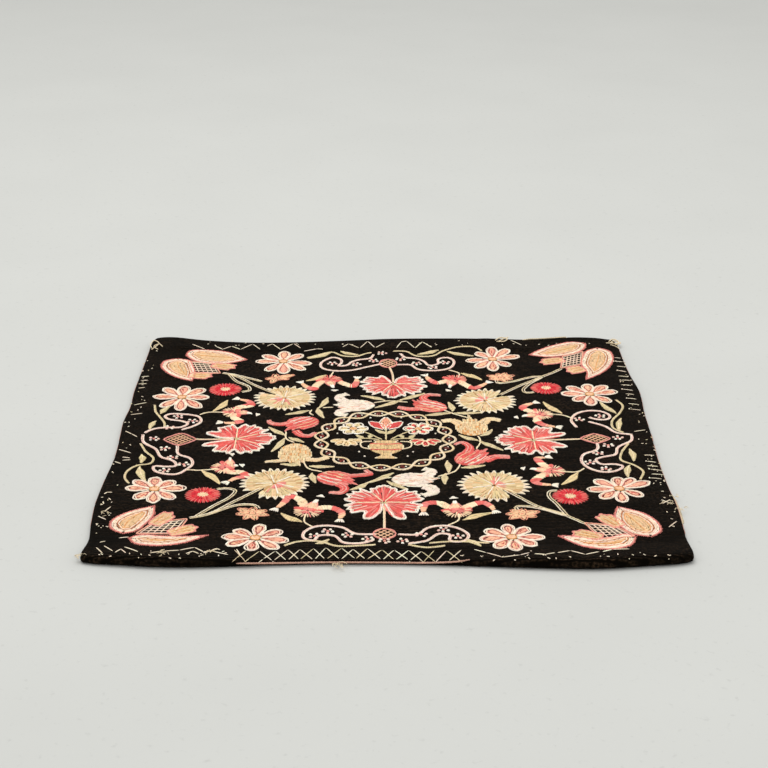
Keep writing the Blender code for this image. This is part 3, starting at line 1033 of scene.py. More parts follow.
def make_lining():
    """The linen: level beneath the cloth, slipping out at the right, and turned up behind the back fold."""
    count = LINING_CELLS + 1
    u, v = crowded_grid(count)
    right = slip_reach("right", v * HALF_LENGTH) + LINING_INSET
    back = slip_reach("back", u * HALF_WIDTH) + LINING_INSET
    inner = 1 - LINING_INSET / HALF_WIDTH
    x, y = plan(u * inner, v * inner)
    x = x + right * np.clip(u, 0, 1) ** 30
    y = y + back * np.clip(v, 0, 1) ** 30
    points, faces = np.column_stack((x, y, np.full(x.shape, LINING / 2))), grid_faces(count)
    behind = np.flatnonzero(v > 0.999)
    last = behind[back[behind] > LINING_INSET * 0.6]
    place, share = u[last], np.linspace(0, 1, len(last))
    turned_up = np.maximum(smooth_step(0, 0.16, share) * smooth_step(0, 0.1, share[::-1]), 0.02)
    for degrees, clear in LINING_LIP:
        row = np.column_stack(fold_point(place, np.ones(len(place)), degrees, clear * MM))
        row[:, 2] = LINING / 2 + (row[:, 2] - LINING / 2) * turned_up
        new = np.arange(len(points), len(points) + len(place))
        faces = np.vstack((faces, np.column_stack((last[:-1], last[1:], new[1:], new[:-1]))))
        points, last = np.vstack((points, row)), new
    lining = place_piece("linen_lining", mesh_from("linen_lining", points, faces),
                         plain_linen(bpy.context.scene.cover_finish))
    thicken(lining, LINING_SHOWN)
    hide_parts("lining")


def across(route, upright):
    """Two directions across a route at each of its points, the second as near to upright as it can be."""
    way = normed(np.gradient(route, axis=0))
    side = normed(np.cross(way, upright))
    return side, np.cross(side, way)


def tube(route, radius, sides, taper):
    """Points and faces of a round strand along a route in metres. Its ends have that taper's share left."""
    side, up = across(route, (0.13, 0.09, 1.0))
    turn = np.linspace(0, 2 * math.pi, sides, endpoint=False)
    share = np.linspace(0, 1, len(route))
    thick = radius * np.minimum(1, taper + np.minimum(share, 1 - share) * 14)
    ring = np.cos(turn)[None, :, None] * side[:, None] + np.sin(turn)[None, :, None] * up[:, None]
    points = (route[:, None] + ring * thick[:, None, None]).reshape(-1, 3)
    i, j = np.meshgrid(np.arange(len(route) - 1), np.arange(sides), indexing="ij")
    i, j, k = i.ravel() * sides, j.ravel(), (j.ravel() + 1) % sides
    return points, np.column_stack((i + j, i + k, i + sides + k, i + sides + j))


def join_tubes(name, strands):
    points, faces, total = [], [], 0
    for strand_points, strand_faces in strands:
        points.append(strand_points)
        faces.append(strand_faces + total)
        total += len(strand_points)
    return mesh_from(name, np.vstack(points), np.vstack(faces))


def make_edge_cord():
    """Two plies twisted round each other along the front fold."""
    place = np.linspace(CORD_ROUTE[0][0], CORD_ROUTE[-1][0], 760)
    clear = CLOTH / 2 + GAP + CORD_SLACK + CORD_RADIUS
    middle = np.column_stack(fold_point(place * MM / HALF_WIDTH, -np.ones(len(place)),
                                        along_rows(CORD_ROUTE, place), clear))
    side, up = across(middle, (0, 0, 1))
    ply = bpy.context.scene.cover_sizes.ply
    strands = []
    for phase in (0, math.pi):
        turn = place / PLY_PITCH * 2 * math.pi + phase
        wobble = (CORD_RADIUS - ply) * (1 + 0.25 * np.sin(place / 3.1 + phase))
        route = middle + wobble[:, None] * (np.cos(turn)[:, None] * side + np.sin(turn)[:, None] * up)
        strands.append(tube(route, ply, 7, 0.35))
    cord = place_piece("fold_cord", join_tubes("fold_cord", strands),
                       spun_wool("rose_wool", bpy.context.scene.cover_finish.cord, 0.62))
    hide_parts("edge_cord")


# Corner tulips, each: two large petals as (blunt end, outer edge, inner edge, tip), small petals as
# (base, tip, half-width), the corners of the net, and the stems
CORNER_TULIPS = (
    {"petals": (((-209, 205), ((-206, 219), (-191, 221), (-165, 214)),
                 ((-200, 191), (-181, 181), (-165, 182)), (-144, 193)),
                ((-216, 196), ((-229, 190), (-232, 178), (-224, 157), (-209, 141)),
                 ((-203, 190), (-199, 176), (-195, 158)), (-196, 134))),
     "small": (((-179, 178), (-154, 169), 8.4), ((-200, 150), (-176, 146), 8.4)),
     "net": ((-206, 188), (-178, 183), (-169, 155), (-197, 154)),
     "stems": (((-167, 156), (-160, 153), (-153, 150), (-140, 142), (-125, 133)),
               ((-160, 153), (-151, 146), (-132, 123), (-110, 101)),
               ((-160, 153), (-151, 133), (-137, 117), (-136, 109), (-144, 105)))},
    {"petals": (((214, 242), ((200, 246), (184, 239), (167, 226)),
                 ((212, 228), (204, 216), (189, 206), (168, 202)), (151, 208)),
                ((225, 229), ((236, 221), (239, 203), (233, 177), (222, 157)),
                 ((213, 220), (207, 203), (203, 181), (207, 160)), (204, 139))),
     "small": (((186, 194), (160, 185), 8.0), ((205, 170), (186, 160), 9.0)),
     "net": ((209, 218), (186, 204), (181, 170), (204, 181)),
     "stems": (((182, 169), (168, 154), (160, 147)),
               ((161, 147), (150, 146), (144, 143), (128, 133), (113, 130), (113, 139)),
               ((160, 146), (139, 126), (114, 98)),
               ((160, 146), (142, 121), (138, 110), (140, 104), (149, 105)))},
    {"petals": (((-223, -208), ((-234, -199), (-236, -185), (-225, -168)),
                 ((-212, -203), (-206, -190), (-201, -175)), (-202, -154)),
                ((-217, -216), ((-211, -226), (-196, -230), (-172, -226)),
                 ((-208, -210), (-192, -212), (-172, -213)), (-150, -210.6))),
     "small": (((-199, -192), (-185, -167), 7.6), ((-184, -208), (-160, -195), 7.2)),
     "net": ((-212, -208), (-199, -187), (-171, -180), (-178, -209)),
     "stems": (((-165, -176), (-151, -155), (-136, -133), (-134, -123), (-142, -119), (-151, -121)),
               ((-170, -178), (-161, -175), (-132, -144), (-110, -117)),
               ((-161, -175), (-151, -169), (-142, -161), (-130, -153), (-114, -154), (-111, -160)))},
    {"petals": (((223, -213), ((232, -204), (233, -190), (222, -168)),
                 ((208, -208), (200, -196), (196, -177)), (201, -155)),
                ((210, -213), ((205, -227), (184, -236), (163, -230)),
                 ((203, -207), (190, -213), (175, -217), (158, -212)), (144, -211))),
     "small": (((199, -194), (183, -170), 7.8), ((181, -215), (156, -204), 7.2)),
     "net": ((209, -212), (194, -192), (169, -187), (180, -218)),
     "stems": (((170, -189), (156, -174), (152, -170), (135, -158), (112, -130), (105, -121)),
               ((156, -174), (149, -151), (143, -130), (145, -124), (152, -123)),
               ((156, -174), (147, -168), (135, -160), (123, -155), (112, -156), (114, -163)))},
)


def toothed_petal(base, tip, half):
    """The outline of a small petal with a wide foot and three teeth at its far end."""
    base, tip = np.array(base, float), np.array(tip, float)
    way = tip - base
    over = left_of(way) / np.hypot(*way) * half
    shape = ((0.0, -0.75), (0.35, -1.0), (0.80, -0.95), (0.78, -0.45), (1.0, -0.1), (0.84, 0.35),
             (0.92, 0.85), (0.45, 1.0), (0.0, 0.75))
    return np.array([base + way * along + over * aside for along, aside in shape])


def sew_corner_tulips(wools):
    needle = Needle(11)
    rim = blend(wools.pink, wools.coral, 0.15)
    fringe = blend(wools.pink, wools.brown, 0.55)
    pale = blend(wools.peach, wools.white, 0.55)
    core = blend(wools.straw, wools.peach, 0.45) * 0.94
    bands = ((0.9, rim), (2.2, blend(pale, wools.white, 0.35)), (5.2, pale),
             (6.5, blend(wools.gold, wools.brown, 0.5), 1.2), (7.8, pale),
             (9.1, blend(wools.gold, wools.peach, 0.3)), (40, core))
    for tulip in CORNER_TULIPS:
        for base, tip, half in tulip["small"]:
            outline = toothed_petal(base, tip, half)
            way = np.array(tip, float) - base
            filled_rows(needle, outline, heading(way), lambda p, d: core, 1.3, 5.5)
            stem(needle, closed(outline), rim, 1.2, 3.4, 0, 0.3, True)
            over = left_of(way) / np.hypot(*way) * half
            for aside in (-0.4, 0.35):
                line = (base + way * 0.1 + over * aside * 0.7, base + way * 0.72 + over * aside)
                stem(needle, line, wools.gold, 0.9, 4.0, 0, 0.35)
        net(needle, tulip["net"], blend(wools.peach, wools.white, 0.5), blend(wools.pink, wools.peach, 0.4),
            6, 6, 1.15)
        for blunt, outer, inner, tip in tulip["petals"]:
            edges = [curve((blunt, *edge, tip), 1.0) for edge in (outer, inner)]
            nested_rows(needle, *edges, bands, fringe=fringe)
            middle = sum(evenly(edge, 9)[2:7] for edge in edges) / 2
            stem(needle, middle, wools.gold, 1.1, 4.6, 0.9, 0.35)
            knots(needle, middle[1:3] + needle.chance.normal(0, 1.0, (2, 2)), wools.brown, 1.3)
        for points in tulip["stems"]:
            stem(needle, points, blend(wools.cream, wools.white, 0.4), 0.95, 4.0, 1.15, twist=0.35)
            stem(needle, points, blend(wools.cream, wools.olive, 0.5), 0.95, 4.0, -1.15, twist=0.35)
    embroider(needle, "corner_tulips")


# Star flowers, each: its middle and the tips of its petals
STAR_FLOWERS = (
    ((-106, 188), ((-106, 218), (-86, 209), (-75.5, 181), (-82.5, 163), (-104, 153), (-123, 160), (-136, 188),
                   (-129, 207))),
    ((-202, 91), ((-202, 122), (-181, 114), (-174, 91), (-181, 63), (-201, 56), (-221, 65), (-232, 93),
                  (-223, 116))),
    ((112, 195), ((113, 232), (131, 226), (142, 205), (130, 175), (111, 161), (93, 170), (83, 190),
                  (95, 216))),
    ((203.6, 100), ((203.6, 128), (223, 124), (233, 108), (223, 79), (202, 70), (186, 82), (174, 102),
                    (182, 121))),
    ((-206, -121), ((-208, -95), (-189, -103), (-177, -118), (-186, -142), (-204, -150), (-222, -142),
                    (-233, -118), (-227, -102))),
    ((-110.6, -216), ((-107, -189), (-88, -202), (-81, -221), (-90, -237), (-114, -240), (-135, -230),
                      (-140, -213), (-130, -200))),
    ((207, -119), ((208, -94), (223, -96), (237, -104), (227, -135), (207, -148), (188, -140), (177, -121),
                   (186, -100))),
    ((105, -214), ((102, -189), (121, -195), (134, -214), (126, -230), (108, -240), (90, -235), (77, -218),
                   (82, -200))),
)


def sew_star_flowers(wools):
    needle = Needle(23)
    rim = blend(wools.white, wools.peach, 0.18)
    for centre, tips in STAR_FLOWERS:
        centre = np.array(centre, float)
        for number, tip in enumerate(tips):
            way = np.array(tip, float) - centre
            base = centre + way / np.hypot(*way) * 3.2
            room = 0.44 + 0.03 * (number % 2)
            edges = petal_edges(base, tip, 6.8 + needle.chance.uniform(-0.5, 0.5), 0.64, 0.42, 0.18, 0,
                                lambda along: room * (along + 3.6))
            rose = blend(wools.brown, wools.pink, needle.chance.uniform(0.1, 0.65))
            core = blend(wools.peach, wools.pink, needle.chance.uniform(0.0, 0.55))
            nested_rows(needle, *edges, ((1.2, rim), (2.4, blend(rim, wools.peach, 0.4)), (3.6, rose, 1.1),
                                         (20, core)), 1.2, 5.5)
            if needle.chance.random() < 0.6:
                needle.add(base + way * 0.3, base + way * 0.62, blend(wools.brown, wools.coral, 0.5), 1.2,
                           bow=0.5, lift=0.3)
        button(needle, centre, 4.6, wools.peach)
        stem(needle, centre + 4.4 * unit(np.linspace(0, 360, 22)), wools.gold, 0.95, 2.6, 0, 0.5, True)
    embroider(needle, "star_flowers")


# Daisies: middle and radius
DAISIES = (((-160.5, 111.5), 16.5), ((161.5, 116), 15.8), ((-162, -132.5), 16), ((162, -135), 16.2))


def sew_daisies(wools):
    needle = Needle(31)
    for centre, radius in DAISIES:
        centre = np.array(centre, float)
        rim = lambda a: radius * (0.93 + 0.09 * np.sin(np.radians(np.asarray(a) * 26)))
        fan(needle, centre, rim, ((0.55, 1.0), (0.22, 0.62)),
            lambda r, a: either(needle.chance.random(len(a)) < 0.25, wools.coral, wools.red), 1.4)
        for a in range(7, 360, 14):
            needle.add(centre + radius * 0.55 * unit(a), centre + radius * 1.02 * unit(a + 2),
                       blend(wools.coral, wools.pink, 0.4), 0.9, 0.9, 0, 0.2)
        button(needle, centre, 4.3, blend(wools.cream, wools.gold, 0.35), 1.2)
        ray = unit(np.arange(0, 360, 30))
        needle.add(centre + ray * 2.6, centre + ray * 5.4, wools.cream, 1.1, 0.9, 0, 0.4)
    embroider(needle, "daisies")


# Straw carnations: how many teeth each has, and its middle, radius across and along, and notch's direction
STRAW_TEETH = 27
STRAW_CARNATIONS = (
    ((-100, 89.5), 27.0, 28.0, 141),
    ((98.5, 83), 27.0, 27.5, 40),
    ((-100, -109), 27.5, 28.5, -132),
    ((96, -113), 28.5, 28.8, -50),
)


def sew_straw_carnations(wools):
    needle = Needle(47)
    straw = np.array(wools.straw) * 0.9
    for centre, wide, deep, notch in STRAW_CARNATIONS:
        centre = np.array(centre, float)

        def rim(a):
            turn = np.radians(np.asarray(a, float))
            radius = wide * deep / np.hypot(deep * np.cos(turn), wide * np.sin(turn))
            return radius * (1 - 0.68 * np.exp(-((angle_apart(a, notch) / 8) ** 2)))

        def shade(r, a):
            share = needle.chance.random(len(a))
            tone = either(share < 0.25, blend(straw, wools.peach, 0.4), straw)
            tone = either(share > 0.82, blend(straw, wools.cream, 0.6), tone)
            tone = either((share > 0.5) & (share < 0.6), blend(wools.straw, wools.gold, 0.75) * 0.8, tone)
            pink = (r < 0.5) & (angle_apart(a, notch + 90) % 180 < 66) & (share < 0.9)
            return either(pink, blend(wools.pink, wools.coral, 0.25), tone)

        fan(needle, centre, rim, ((0.68, 1.0), (0.36, 0.74), (0.05, 0.42)), shade, 1.4)
        tooth, half = blend(wools.cream, wools.white, 0.6), 0.4 * 360 / STRAW_TEETH
        for i in range(STRAW_TEETH):
            a = 360 * (i + 0.5 + needle.chance.uniform(-0.12, 0.12)) / STRAW_TEETH
            if angle_apart(a, notch) < 13:
                continue
            out = float(rim(a))
            tip = centre + (out + needle.chance.uniform(2.8, 5.4)) * unit(a)
            for aside in (-half, 0, half):
                foot = centre + (out - 3.6) * unit(a + aside)
                needle.add(foot, tip, tooth if aside else wools.cream, 1.3, 0.9, 0, 0.12)
        for aside in (0, 62, 128, -68, -126, 176):
            a = notch + 180 + aside + needle.chance.uniform(-8, 8)
            reach = float(rim(a)) * needle.chance.uniform(0.55, 0.8)
            end = centre + reach * unit(a + needle.chance.uniform(-6, 6))
            stem(needle, (centre + 2 * unit(a), end), wools.white, 1.15, 4.4, 0, 0.5)
        knots(needle, centre + needle.chance.normal(0, 1.4, (5, 2)), wools.gold, 1.5)
    embroider(needle, "straw_carnations")


# Coral carnations: the point from which the lobes spread, the stem's direction in degrees, the reach along
# the stem's line and across it, how much further the lobes beside the stem go, and the stem
CORAL_CARNATIONS = (
    ((8, 126), 90, 36, 36, 1.0, ((4, 173), (7, 155), (8, 130))),
    ((-141, -11), 180, 38, 36, 1.2, ((-180, -12), (-163, -12), (-145, -11))),
    ((139, -13), 0, 38, 36, 1.2, ((184, -10), (162, -12), (143, -13))),
    ((-2.5, -148), -90, 35, 38, 1.38, ((-2, -199), (-2, -178), (-2, -153))),
)
# Half of a carnation's rim, as (degrees from the stem's far side, share of the reach): its five lobes meet at
# 29 and at 91 degrees, and beyond CURL_FROM its teeth curl in towards the stem. Pale lines part the lobes,
# and shorter ones run in from the VALLEYS
CORAL_RIM = ((0, 1.06), (5, 0.9), (10, 1.0), (14, 0.79), (19, 0.95), (24, 0.91), (29, 0.6), (34, 0.93),
             (38, 1.0), (43, 0.8), (49, 1.0), (53, 1.03), (58, 0.82), (64, 1.06), (70, 0.82), (76, 1.0),
             (81, 0.97), (87, 0.84), (91, 0.62), (96, 0.95), (101, 1.0), (106, 0.79), (112, 0.99),
             (117, 0.81), (123, 1.0), (129, 0.9), (136, 0.6), (143, 0.71), (150, 0.8), (157, 0.68),
             (162, 0.4))
LOBE_BOUNDS = (-91, -29, 29, 91)
VALLEYS = (14, 43, 58, 70, 106, 117)
CURL_FROM = 136


def sew_coral_carnations(wools):
    needle = Needle(59)
    for centre, stem_way, reach, across, near_stem, stalk in CORAL_CARNATIONS:
        centre = np.array(centre, float)
        far = stem_way + 180
        half = np.array(CORAL_RIM, float)
        rim_angles, shares = np.vstack((half[:0:-1] * (-1, 1), half)).T
        turn = np.radians(rim_angles)
        rim_radii = reach * across / np.hypot(across * np.cos(turn), reach * np.sin(turn)) * shares
        beyond = np.maximum(abs(rim_angles) - CURL_FROM, 0)
        rim_radii *= needle.chance.uniform(0.95, 1.05, len(rim_radii)) * np.where(beyond > 0, near_stem, 1)
        rim_angles += np.sign(rim_angles) * beyond * (near_stem - 1) * 0.9

        def rim(a, inset=1.6):
            away = (np.asarray(a, float) - far + 180) % 360 - 180
            on_rim = abs(away) < rim_angles[-1] + 1
            return np.where(on_rim, np.interp(away, rim_angles, rim_radii) - inset, 0.0)

        def shade(r, a):
            share = needle.chance.random(len(a))
            mixed = either(share < 0.32, blend(wools.coral, wools.pink, 0.65), wools.coral)
            return either(share > 0.86, blend(wools.coral, wools.red, 0.35), mixed)

        fan(needle, centre, rim, ((0.66, 1.0), (0.34, 0.72), (0.08, 0.40)), shade, 1.35)
        outline = centre + rim_radii[:, None] * unit(rim_angles + far)
        outline = np.vstack((centre, round_off(outline)[1:-1], centre))
        outline = evenly(outline, int(distance_round(outline) / 0.8))[3:-3]
        inwards = sideways(outline) * np.sign(signed_area(outline))
        for depth, tone, width in ((0.7, wools.white, 1.75), (2.1, blend(wools.white, wools.pink, 0.4), 1.3)):
            line = outline + inwards * depth
            for part in runs(distance_to(line, outline) > depth * 0.75):
                if len(part) > 2:
                    start, end = cut_rows(needle, line[part], 3.4)
                    needle.add(start, end, tone, width, 0.95, 0, 0.25)
        for away in (*VALLEYS, *(-valley for valley in VALLEYS)):
            a, out = far + away, float(rim(far + away, 0))
            stem(needle, (centre + out * unit(a), centre + out * needle.chance.uniform(0.5, 0.72) * unit(a)),
                 blend(wools.white, wools.pink, 0.3), 1.0, 3.8, 0, 0.4)
        for away in LOBE_BOUNDS:
            a = far + away
            stem(needle, (centre + 2.0 * unit(a), centre + float(rim(a, 0)) * unit(a)), wools.cream, 1.25,
                 4.0, 0, 0.5)
        knots(needle, centre + needle.chance.normal(0, 1.3, (7, 2)), wools.olive, 1.8)
        stem(needle, stalk, wools.cream, 1.35, 4.6, 0.45)
        stem(needle, stalk, blend(wools.cream, wools.pink, 0.35), 0.9, 4.6, -0.65)
    embroider(needle, "coral_carnations")


# Garlands: double lines, the middles of the berries, and the nets as (middle, half-widths across and along,
# 2 for an oval and 1 for a diamond)
GARLAND_LINES = (
    ((-2, 183), (-19, 173), (-37, 163), (-55, 163), (-64, 168.5), (-67, 182.5), (-60.5, 195), (-55, 200),
     (-47, 195), (-46, 182.5), (-49, 176), (-40, 177), (-35, 187), (-28, 193), (-16, 197), (-12, 209)),
    ((12, 179), (26, 179), (33, 167), (51, 163), (65, 168.5), (71, 181), (70, 195), (65, 200), (56, 196.5),
     (54, 181), (46, 177), (40, 189.5), (33, 196.5), (21, 200), (16, 212)),
    ((-9, -209), (-28, -207), (-37, -196.6), (-63, -195.7), (-70, -205), (-70, -216), (-61.4, -221),
     (-58, -212), (-44, -212), (-37, -224), (-19, -224.6), (-10.5, -219)),
    ((9, -209), (26, -209), (35, -196.6), (51, -193), (65, -202), (69, -212), (63, -222), (53, -221),
     (53, -209), (46, -207), (33, -221), (17.5, -226)),
    ((-229, 3), (-222, 12), (-207, 16), (-196.6, 16), (-190, 26), (-196.6, 31.6), (-210.6, 37), (-214, 44),
     (-212, 47), (-195, 48), (-181, 42), (-178, 30), (-186, 17.5), (-195, 10.5)),
    ((-230, 0), (-228, -17.5), (-214, -35), (-207, -52.6), (-195, -61), (-192, -72), (-202, -73), (-212, -72),
     (-210.6, -81), (-198, -89.5), (-189.5, -89.5), (-182, -80), (-177, -67), (-181, -54), (-191, -47),
     (-195, -26)),
    ((182.5, 17.5), (179, 35), (186, 51), (198, 58), (210.6, 56), (217.6, 44), (214, 37), (203.6, 37),
     (196.6, 42)),
    ((195, 31.6), (210.6, 19), (219, 5), (234, 0)),
    ((198, -19), (197, -33), (182.5, -45.6), (180, -65), (186, -77), (198, -84), (209, -81), (216, -70),
     (209, -66.7), (196.6, -66.7), (193, -56), (200, -51), (212, -45.6), (216, -30), (231.6, -12), (233, 0)),
)
GARLAND_BERRIES = (
    (-55, 182.5), (-30, 180), (-12, 191), (-3.5, 212), (32.5, 183), (62, 186), (49, 172), (16, 195),
    (-61, -212), (-50, -203), (-33, -210.6), (-16, -217.6), (-2, -221), (29, -209), (48, -200), (60, -212),
    (13, -221), (-218.5, -10.5), (-206, -33), (-185, -68), (-201, -81), (-196.6, -53), (-201, 42),
    (-186, 31.6), (-207, 16), (208, 45), (187, 37), (219, -7), (208, -24.6), (196.6, -42), (187, -63),
    (200, -77),
)
GARLAND_NETS = (((3, 183), 9, 11.5, 2.0), ((-2, -208), 9.5, 9.5, 2.0), ((-194, -12), 15.5, 14.5, 1.15),
                ((197.5, -9), 14.5, 11.5, 1.15))


def sew_garlands(wools):
    needle = Needle(61)
    blush = blend(wools.white, wools.pink, 0.2)
    rose = blend(wools.pink, wools.white, 0.55)
    pale = (wools.white, blend(wools.white, wools.pink, 0.5), wools.white)
    for points in GARLAND_LINES:
        stem(needle, points, blush, 1.25, 3.8, 0.75, twist=0.4)
        stem(needle, points, rose, 1.15, 3.8, -0.7, twist=0.4)
    for spot in GARLAND_BERRIES:
        berries(needle, spot, pale, wools.pink, 1.5)
    for centre, wide, deep, power in GARLAND_NETS:
        round_net(needle, centre, wide, deep, wools.peach, wools.pink, 4.0, power)
    embroider(needle, "garlands")


# Olive tendrils, and leaves as (base, tip, half-width)
TENDRILS = (
    ((-82, 198), (-70, 207), (-56, 215), (-44, 204), (-30, 203), (-19, 212), (-14, 214)),
    ((8, 218), (21, 218), (33, 204), (49, 204), (61, 219), (82, 232), (96, 230), (102, 219)),
    ((-227, 72), (-224, 54), (-218, 40), (-212, 23), (-212, 16)),
    ((-230, -21), (-223, -40), (-214, -56), (-216, -67), (-226, -70), (-235, -84), (-235, -98), (-230, -109)),
    ((228, 86), (233, 72), (228, 53), (218, 32), (218, 14), (226, 5)),
    ((228, -19), (217.6, -44), (216, -58), (226, -68), (233, -81), (228, -100)),
    ((-86, -230), (-75.5, -223), (-54, -223), (-44, -230), (-23, -230), (-9, -228)),
    ((17.5, -228), (31.6, -233), (49, -230)),
    ((35, -225), (58, -222), (86, -225)),
)
TENDRIL_LEAVES = (
    ((-56, 215), (-81, 197), 4.6), ((-47, 218), (-28, 207), 4.2), ((57, 222), (33, 209), 4.6),
    ((65, 218), (93, 204), 4.6), ((-219, 49), (-211, 68), 3.9), ((-221, 32), (-225.5, 12), 3.5),
    ((-226, -46), (-225, -65), 3.9), ((-224.6, -72), (-216, -105), 4.6), ((225, 51), (212, 81), 4.2),
    ((228, 40), (222, 7), 3.5), ((227, -32), (227, -60), 3.8), ((223, -68), (217.6, -95), 3.9),
    ((66, -218), (78, -231), 3.6), ((-60, -226), (-48, -218), 3.2),
)


def sew_tendrils(wools):
    needle = Needle(67)
    for points in TENDRILS:
        stem(needle, points, wools.olive, 0.95, 3.6, 0.55, twist=0.5)
        stem(needle, points, blend(wools.olive, wools.cream, 0.6), 0.9, 3.6, -0.5, twist=0.5)
    for i, (base, tip, half) in enumerate(TENDRIL_LEAVES):
        leaf(needle, base, tip, half, wools.olive, 1.5 * (-1) ** i, wools.cream)
    embroider(needle, "tendrils")


# Curled blossoms: the head, its arms, the stalk, and the leaf as (base, tip). An arm of three points is the
# middle petal, and a longer one curls
CURLED_BLOSSOMS = (
    ((-57, 137), (((-63, 135), (-70, 122), (-72, 113), (-80, 120), (-84, 128)),
                  ((-47, 133), (-39, 125), (-33, 121), (-30, 128), (-29, 140)),
                  ((-57, 142), (-55, 124), (-51, 110))),
     ((-53, 160), (-55, 152), (-57, 142)), ((-60, 151), (-81, 135))),
    ((70, 138), (((64, 137), (51, 130), (46, 137), (42, 147)), ((68, 138), (68, 120), (63, 110)),
                 ((74, 136), (82, 123), (88, 116), (97, 123), (102, 129))),
     ((65, 165), (75.5, 156), (74, 143)), ((77, 156), (98, 137))),
    ((-146, 54), (((-146, 58), (-144, 65), (-132, 72), (-135, 81), (-144, 86)),
                  ((-150, 54), (-138, 51), (-125, 48)),
                  ((-147, 50), (-146, 39), (-140, 31), (-148, 27), (-156, 28))),
     ((-181, 47), (-174, 52.6), (-156, 53)), ((-156, 84), (-169, 56))),
    ((149, 49), (((149, 53), (140, 58), (134, 66), (139, 73), (145, 77)), ((152, 49), (140, 46), (127, 42)),
                 ((149, 46), (146, 32), (150, 25), (156, 21), (162, 19))),
     ((181, 39), (172, 47), (158, 50)), ((172, 51), (156, 81))),
    ((-146, -74), (((-147, -70), (-146, -60), (-143, -46)), ((-150, -74), (-142, -73), (-132, -70)),
                   ((-147, -78), (-142, -84), (-130, -86), (-126, -92), (-135, -97), (-141, -104))),
     ((-182, -80), (-170, -81), (-153, -78)), ((-168, -81), (-149, -110.5))),
    ((149, -81), (((148, -77), (141, -62), (139, -54), (146, -52)), ((152, -81), (138, -79), (125, -76)),
                  ((147, -85), (136, -97), (133, -105), (141, -110), (147, -111))),
     ((181, -75.5), (174, -83), (157, -83)), ((174, -84), (156, -110.6))),
    ((-68, -163), (((-71, -158), (-77, -140), (-84, -135), (-90, -148), (-95, -158)),
                   ((-68, -165), (-64, -150), (-58, -135)),
                   ((-63, -161), (-54, -157), (-44, -160), (-39, -167), (-40, -179))),
     ((-63, -195), (-70, -187), (-70, -170)), ((-72, -186), (-91, -168))),
    ((61, -163), (((57, -160), (42, -147), (35, -149), (32, -158), (32, -166)),
                  ((61, -165), (61, -152), (59, -138)),
                  ((66, -160), (75, -151), (84, -147), (90, -153), (93, -162))),
     ((51, -193), (62, -181), (62, -169)), ((65, -182), (92, -168))),
)


def sew_curled_blossoms(wools):
    needle = Needle(71)
    cream_peach = blend(wools.peach, wools.cream, 0.5)
    rose = blend(wools.coral, wools.pink, 0.55)
    band = blend(wools.coral, wools.pink, 0.15)
    for number, (head, arms, stalk, (leaf_base, leaf_tip)) in enumerate(CURLED_BLOSSOMS):
        head, foot = np.array(head, float), np.array(stalk[-1], float)
        bloom = unit_rows((head - foot)[None])[0]
        over = left_of(bloom)
        stem(needle, stalk, wools.cream, 1.5, 4.4, 0.0)
        leaf(needle, leaf_base, leaf_tip, 4.6, wools.straw, 2.0, wools.olive)
        for points in arms:
            if len(points) > 3:
                stroke(needle, points, (8.5, 9.5, 9, 8.5, 7, 4),
                       (cream_peach, wools.cream, band, rose, wools.peach))
                tuft(needle, points, wools.white, -0.2, 7.2, 0.8, 4.2, 1.75)
        back = heading(-bloom)
        cap = (cream_peach, rose) if number > 1 else (blend(rose, wools.peach, 0.3), band)
        scallops = lambda a: np.where(angle_apart(a, back) < 98,
                                      12.2 + 1.6 * abs(np.cos(np.radians((np.asarray(a) - back) * 2.2))), 0)
        fan(needle, head - bloom, scallops, ((0.48, 1.0), (0.04, 0.6)),
            lambda r, a: either((r < 0.34) | (needle.chance.random(len(a)) < 0.2), cap[1], cap[0]), 1.35)
        stroke(needle, (head + over * 13.5 + bloom * 1.5, head + bloom * 2.6,
                        head - over * 13.5 + bloom * 1.5),
               (4.5, 6.5, 7, 6.5, 4.5), (band, rose, band))
        for points in arms:
            if len(points) <= 3:
                tip = np.array(points[-1], float)
                start = head + bloom * 2.5
                way = tip - start
                edges = petal_edges(start, start + way * 0.66, 6.2, 0.3, 0.85, 0.7)
                bands = ((0.9, wools.pink, 1.2), (2.2, wools.peach), (9, cream_peach))
                nested_rows(needle, *edges, bands, 1.2, 5.0)
                needle.add(start + way * 0.42 + over * np.array(((-1.8,), (-0.6,), (0.6,), (1.8,))),
                           start + way * 0.74 + over * np.array(((-0.8,), (-0.3,), (0.3,), (0.8,))),
                           wools.white, 1.6, lift=0.4)
                for shift in (-0.6, 0.8, 2.1):
                    middle = tip + bloom * shift
                    needle.add(middle - over * (3.8 - shift), middle + over * (3.8 - shift), wools.white, 1.7)
    embroider(needle, "curled_blossoms")


# Toothed leaves: the middle and the tips
TOOTHED_LEAVES = (
    ((-111, 142), ((-113, 154), (-92, 151), (-97, 139), (-116, 128), (-123, 139))),
    ((118, 143), ((103, 150), (105, 139), (114, 156), (124, 158), (132.5, 151), (130, 139), (123, 132),
                  (111, 136))),
    ((-116, -169), ((-130, -159), (-131, -171), (-123, -181), (-112, -182.5), (-101, -173), (-103, -163),
                    (-116, -157))),
    ((117, -170), ((102, -170), (105, -180), (119, -182), (130, -176), (133, -165), (119, -159),
                   (107, -161))),
)


def sew_toothed_leaves(wools):
    needle = Needle(73)
    bands = ((0.9, blend(wools.pink, wools.gold, 0.4), 1.2), (9, blend(wools.peach, wools.straw, 0.35)))
    for centre, tips in TOOTHED_LEAVES:
        for tip in tips:
            reach = np.array(centre) + (np.array(tip, float) - centre) * 1.07
            nested_rows(needle, *petal_edges(centre, reach, 5.4, 0.46, 0.6, 1.0), bands)
    embroider(needle, "toothed_leaves")


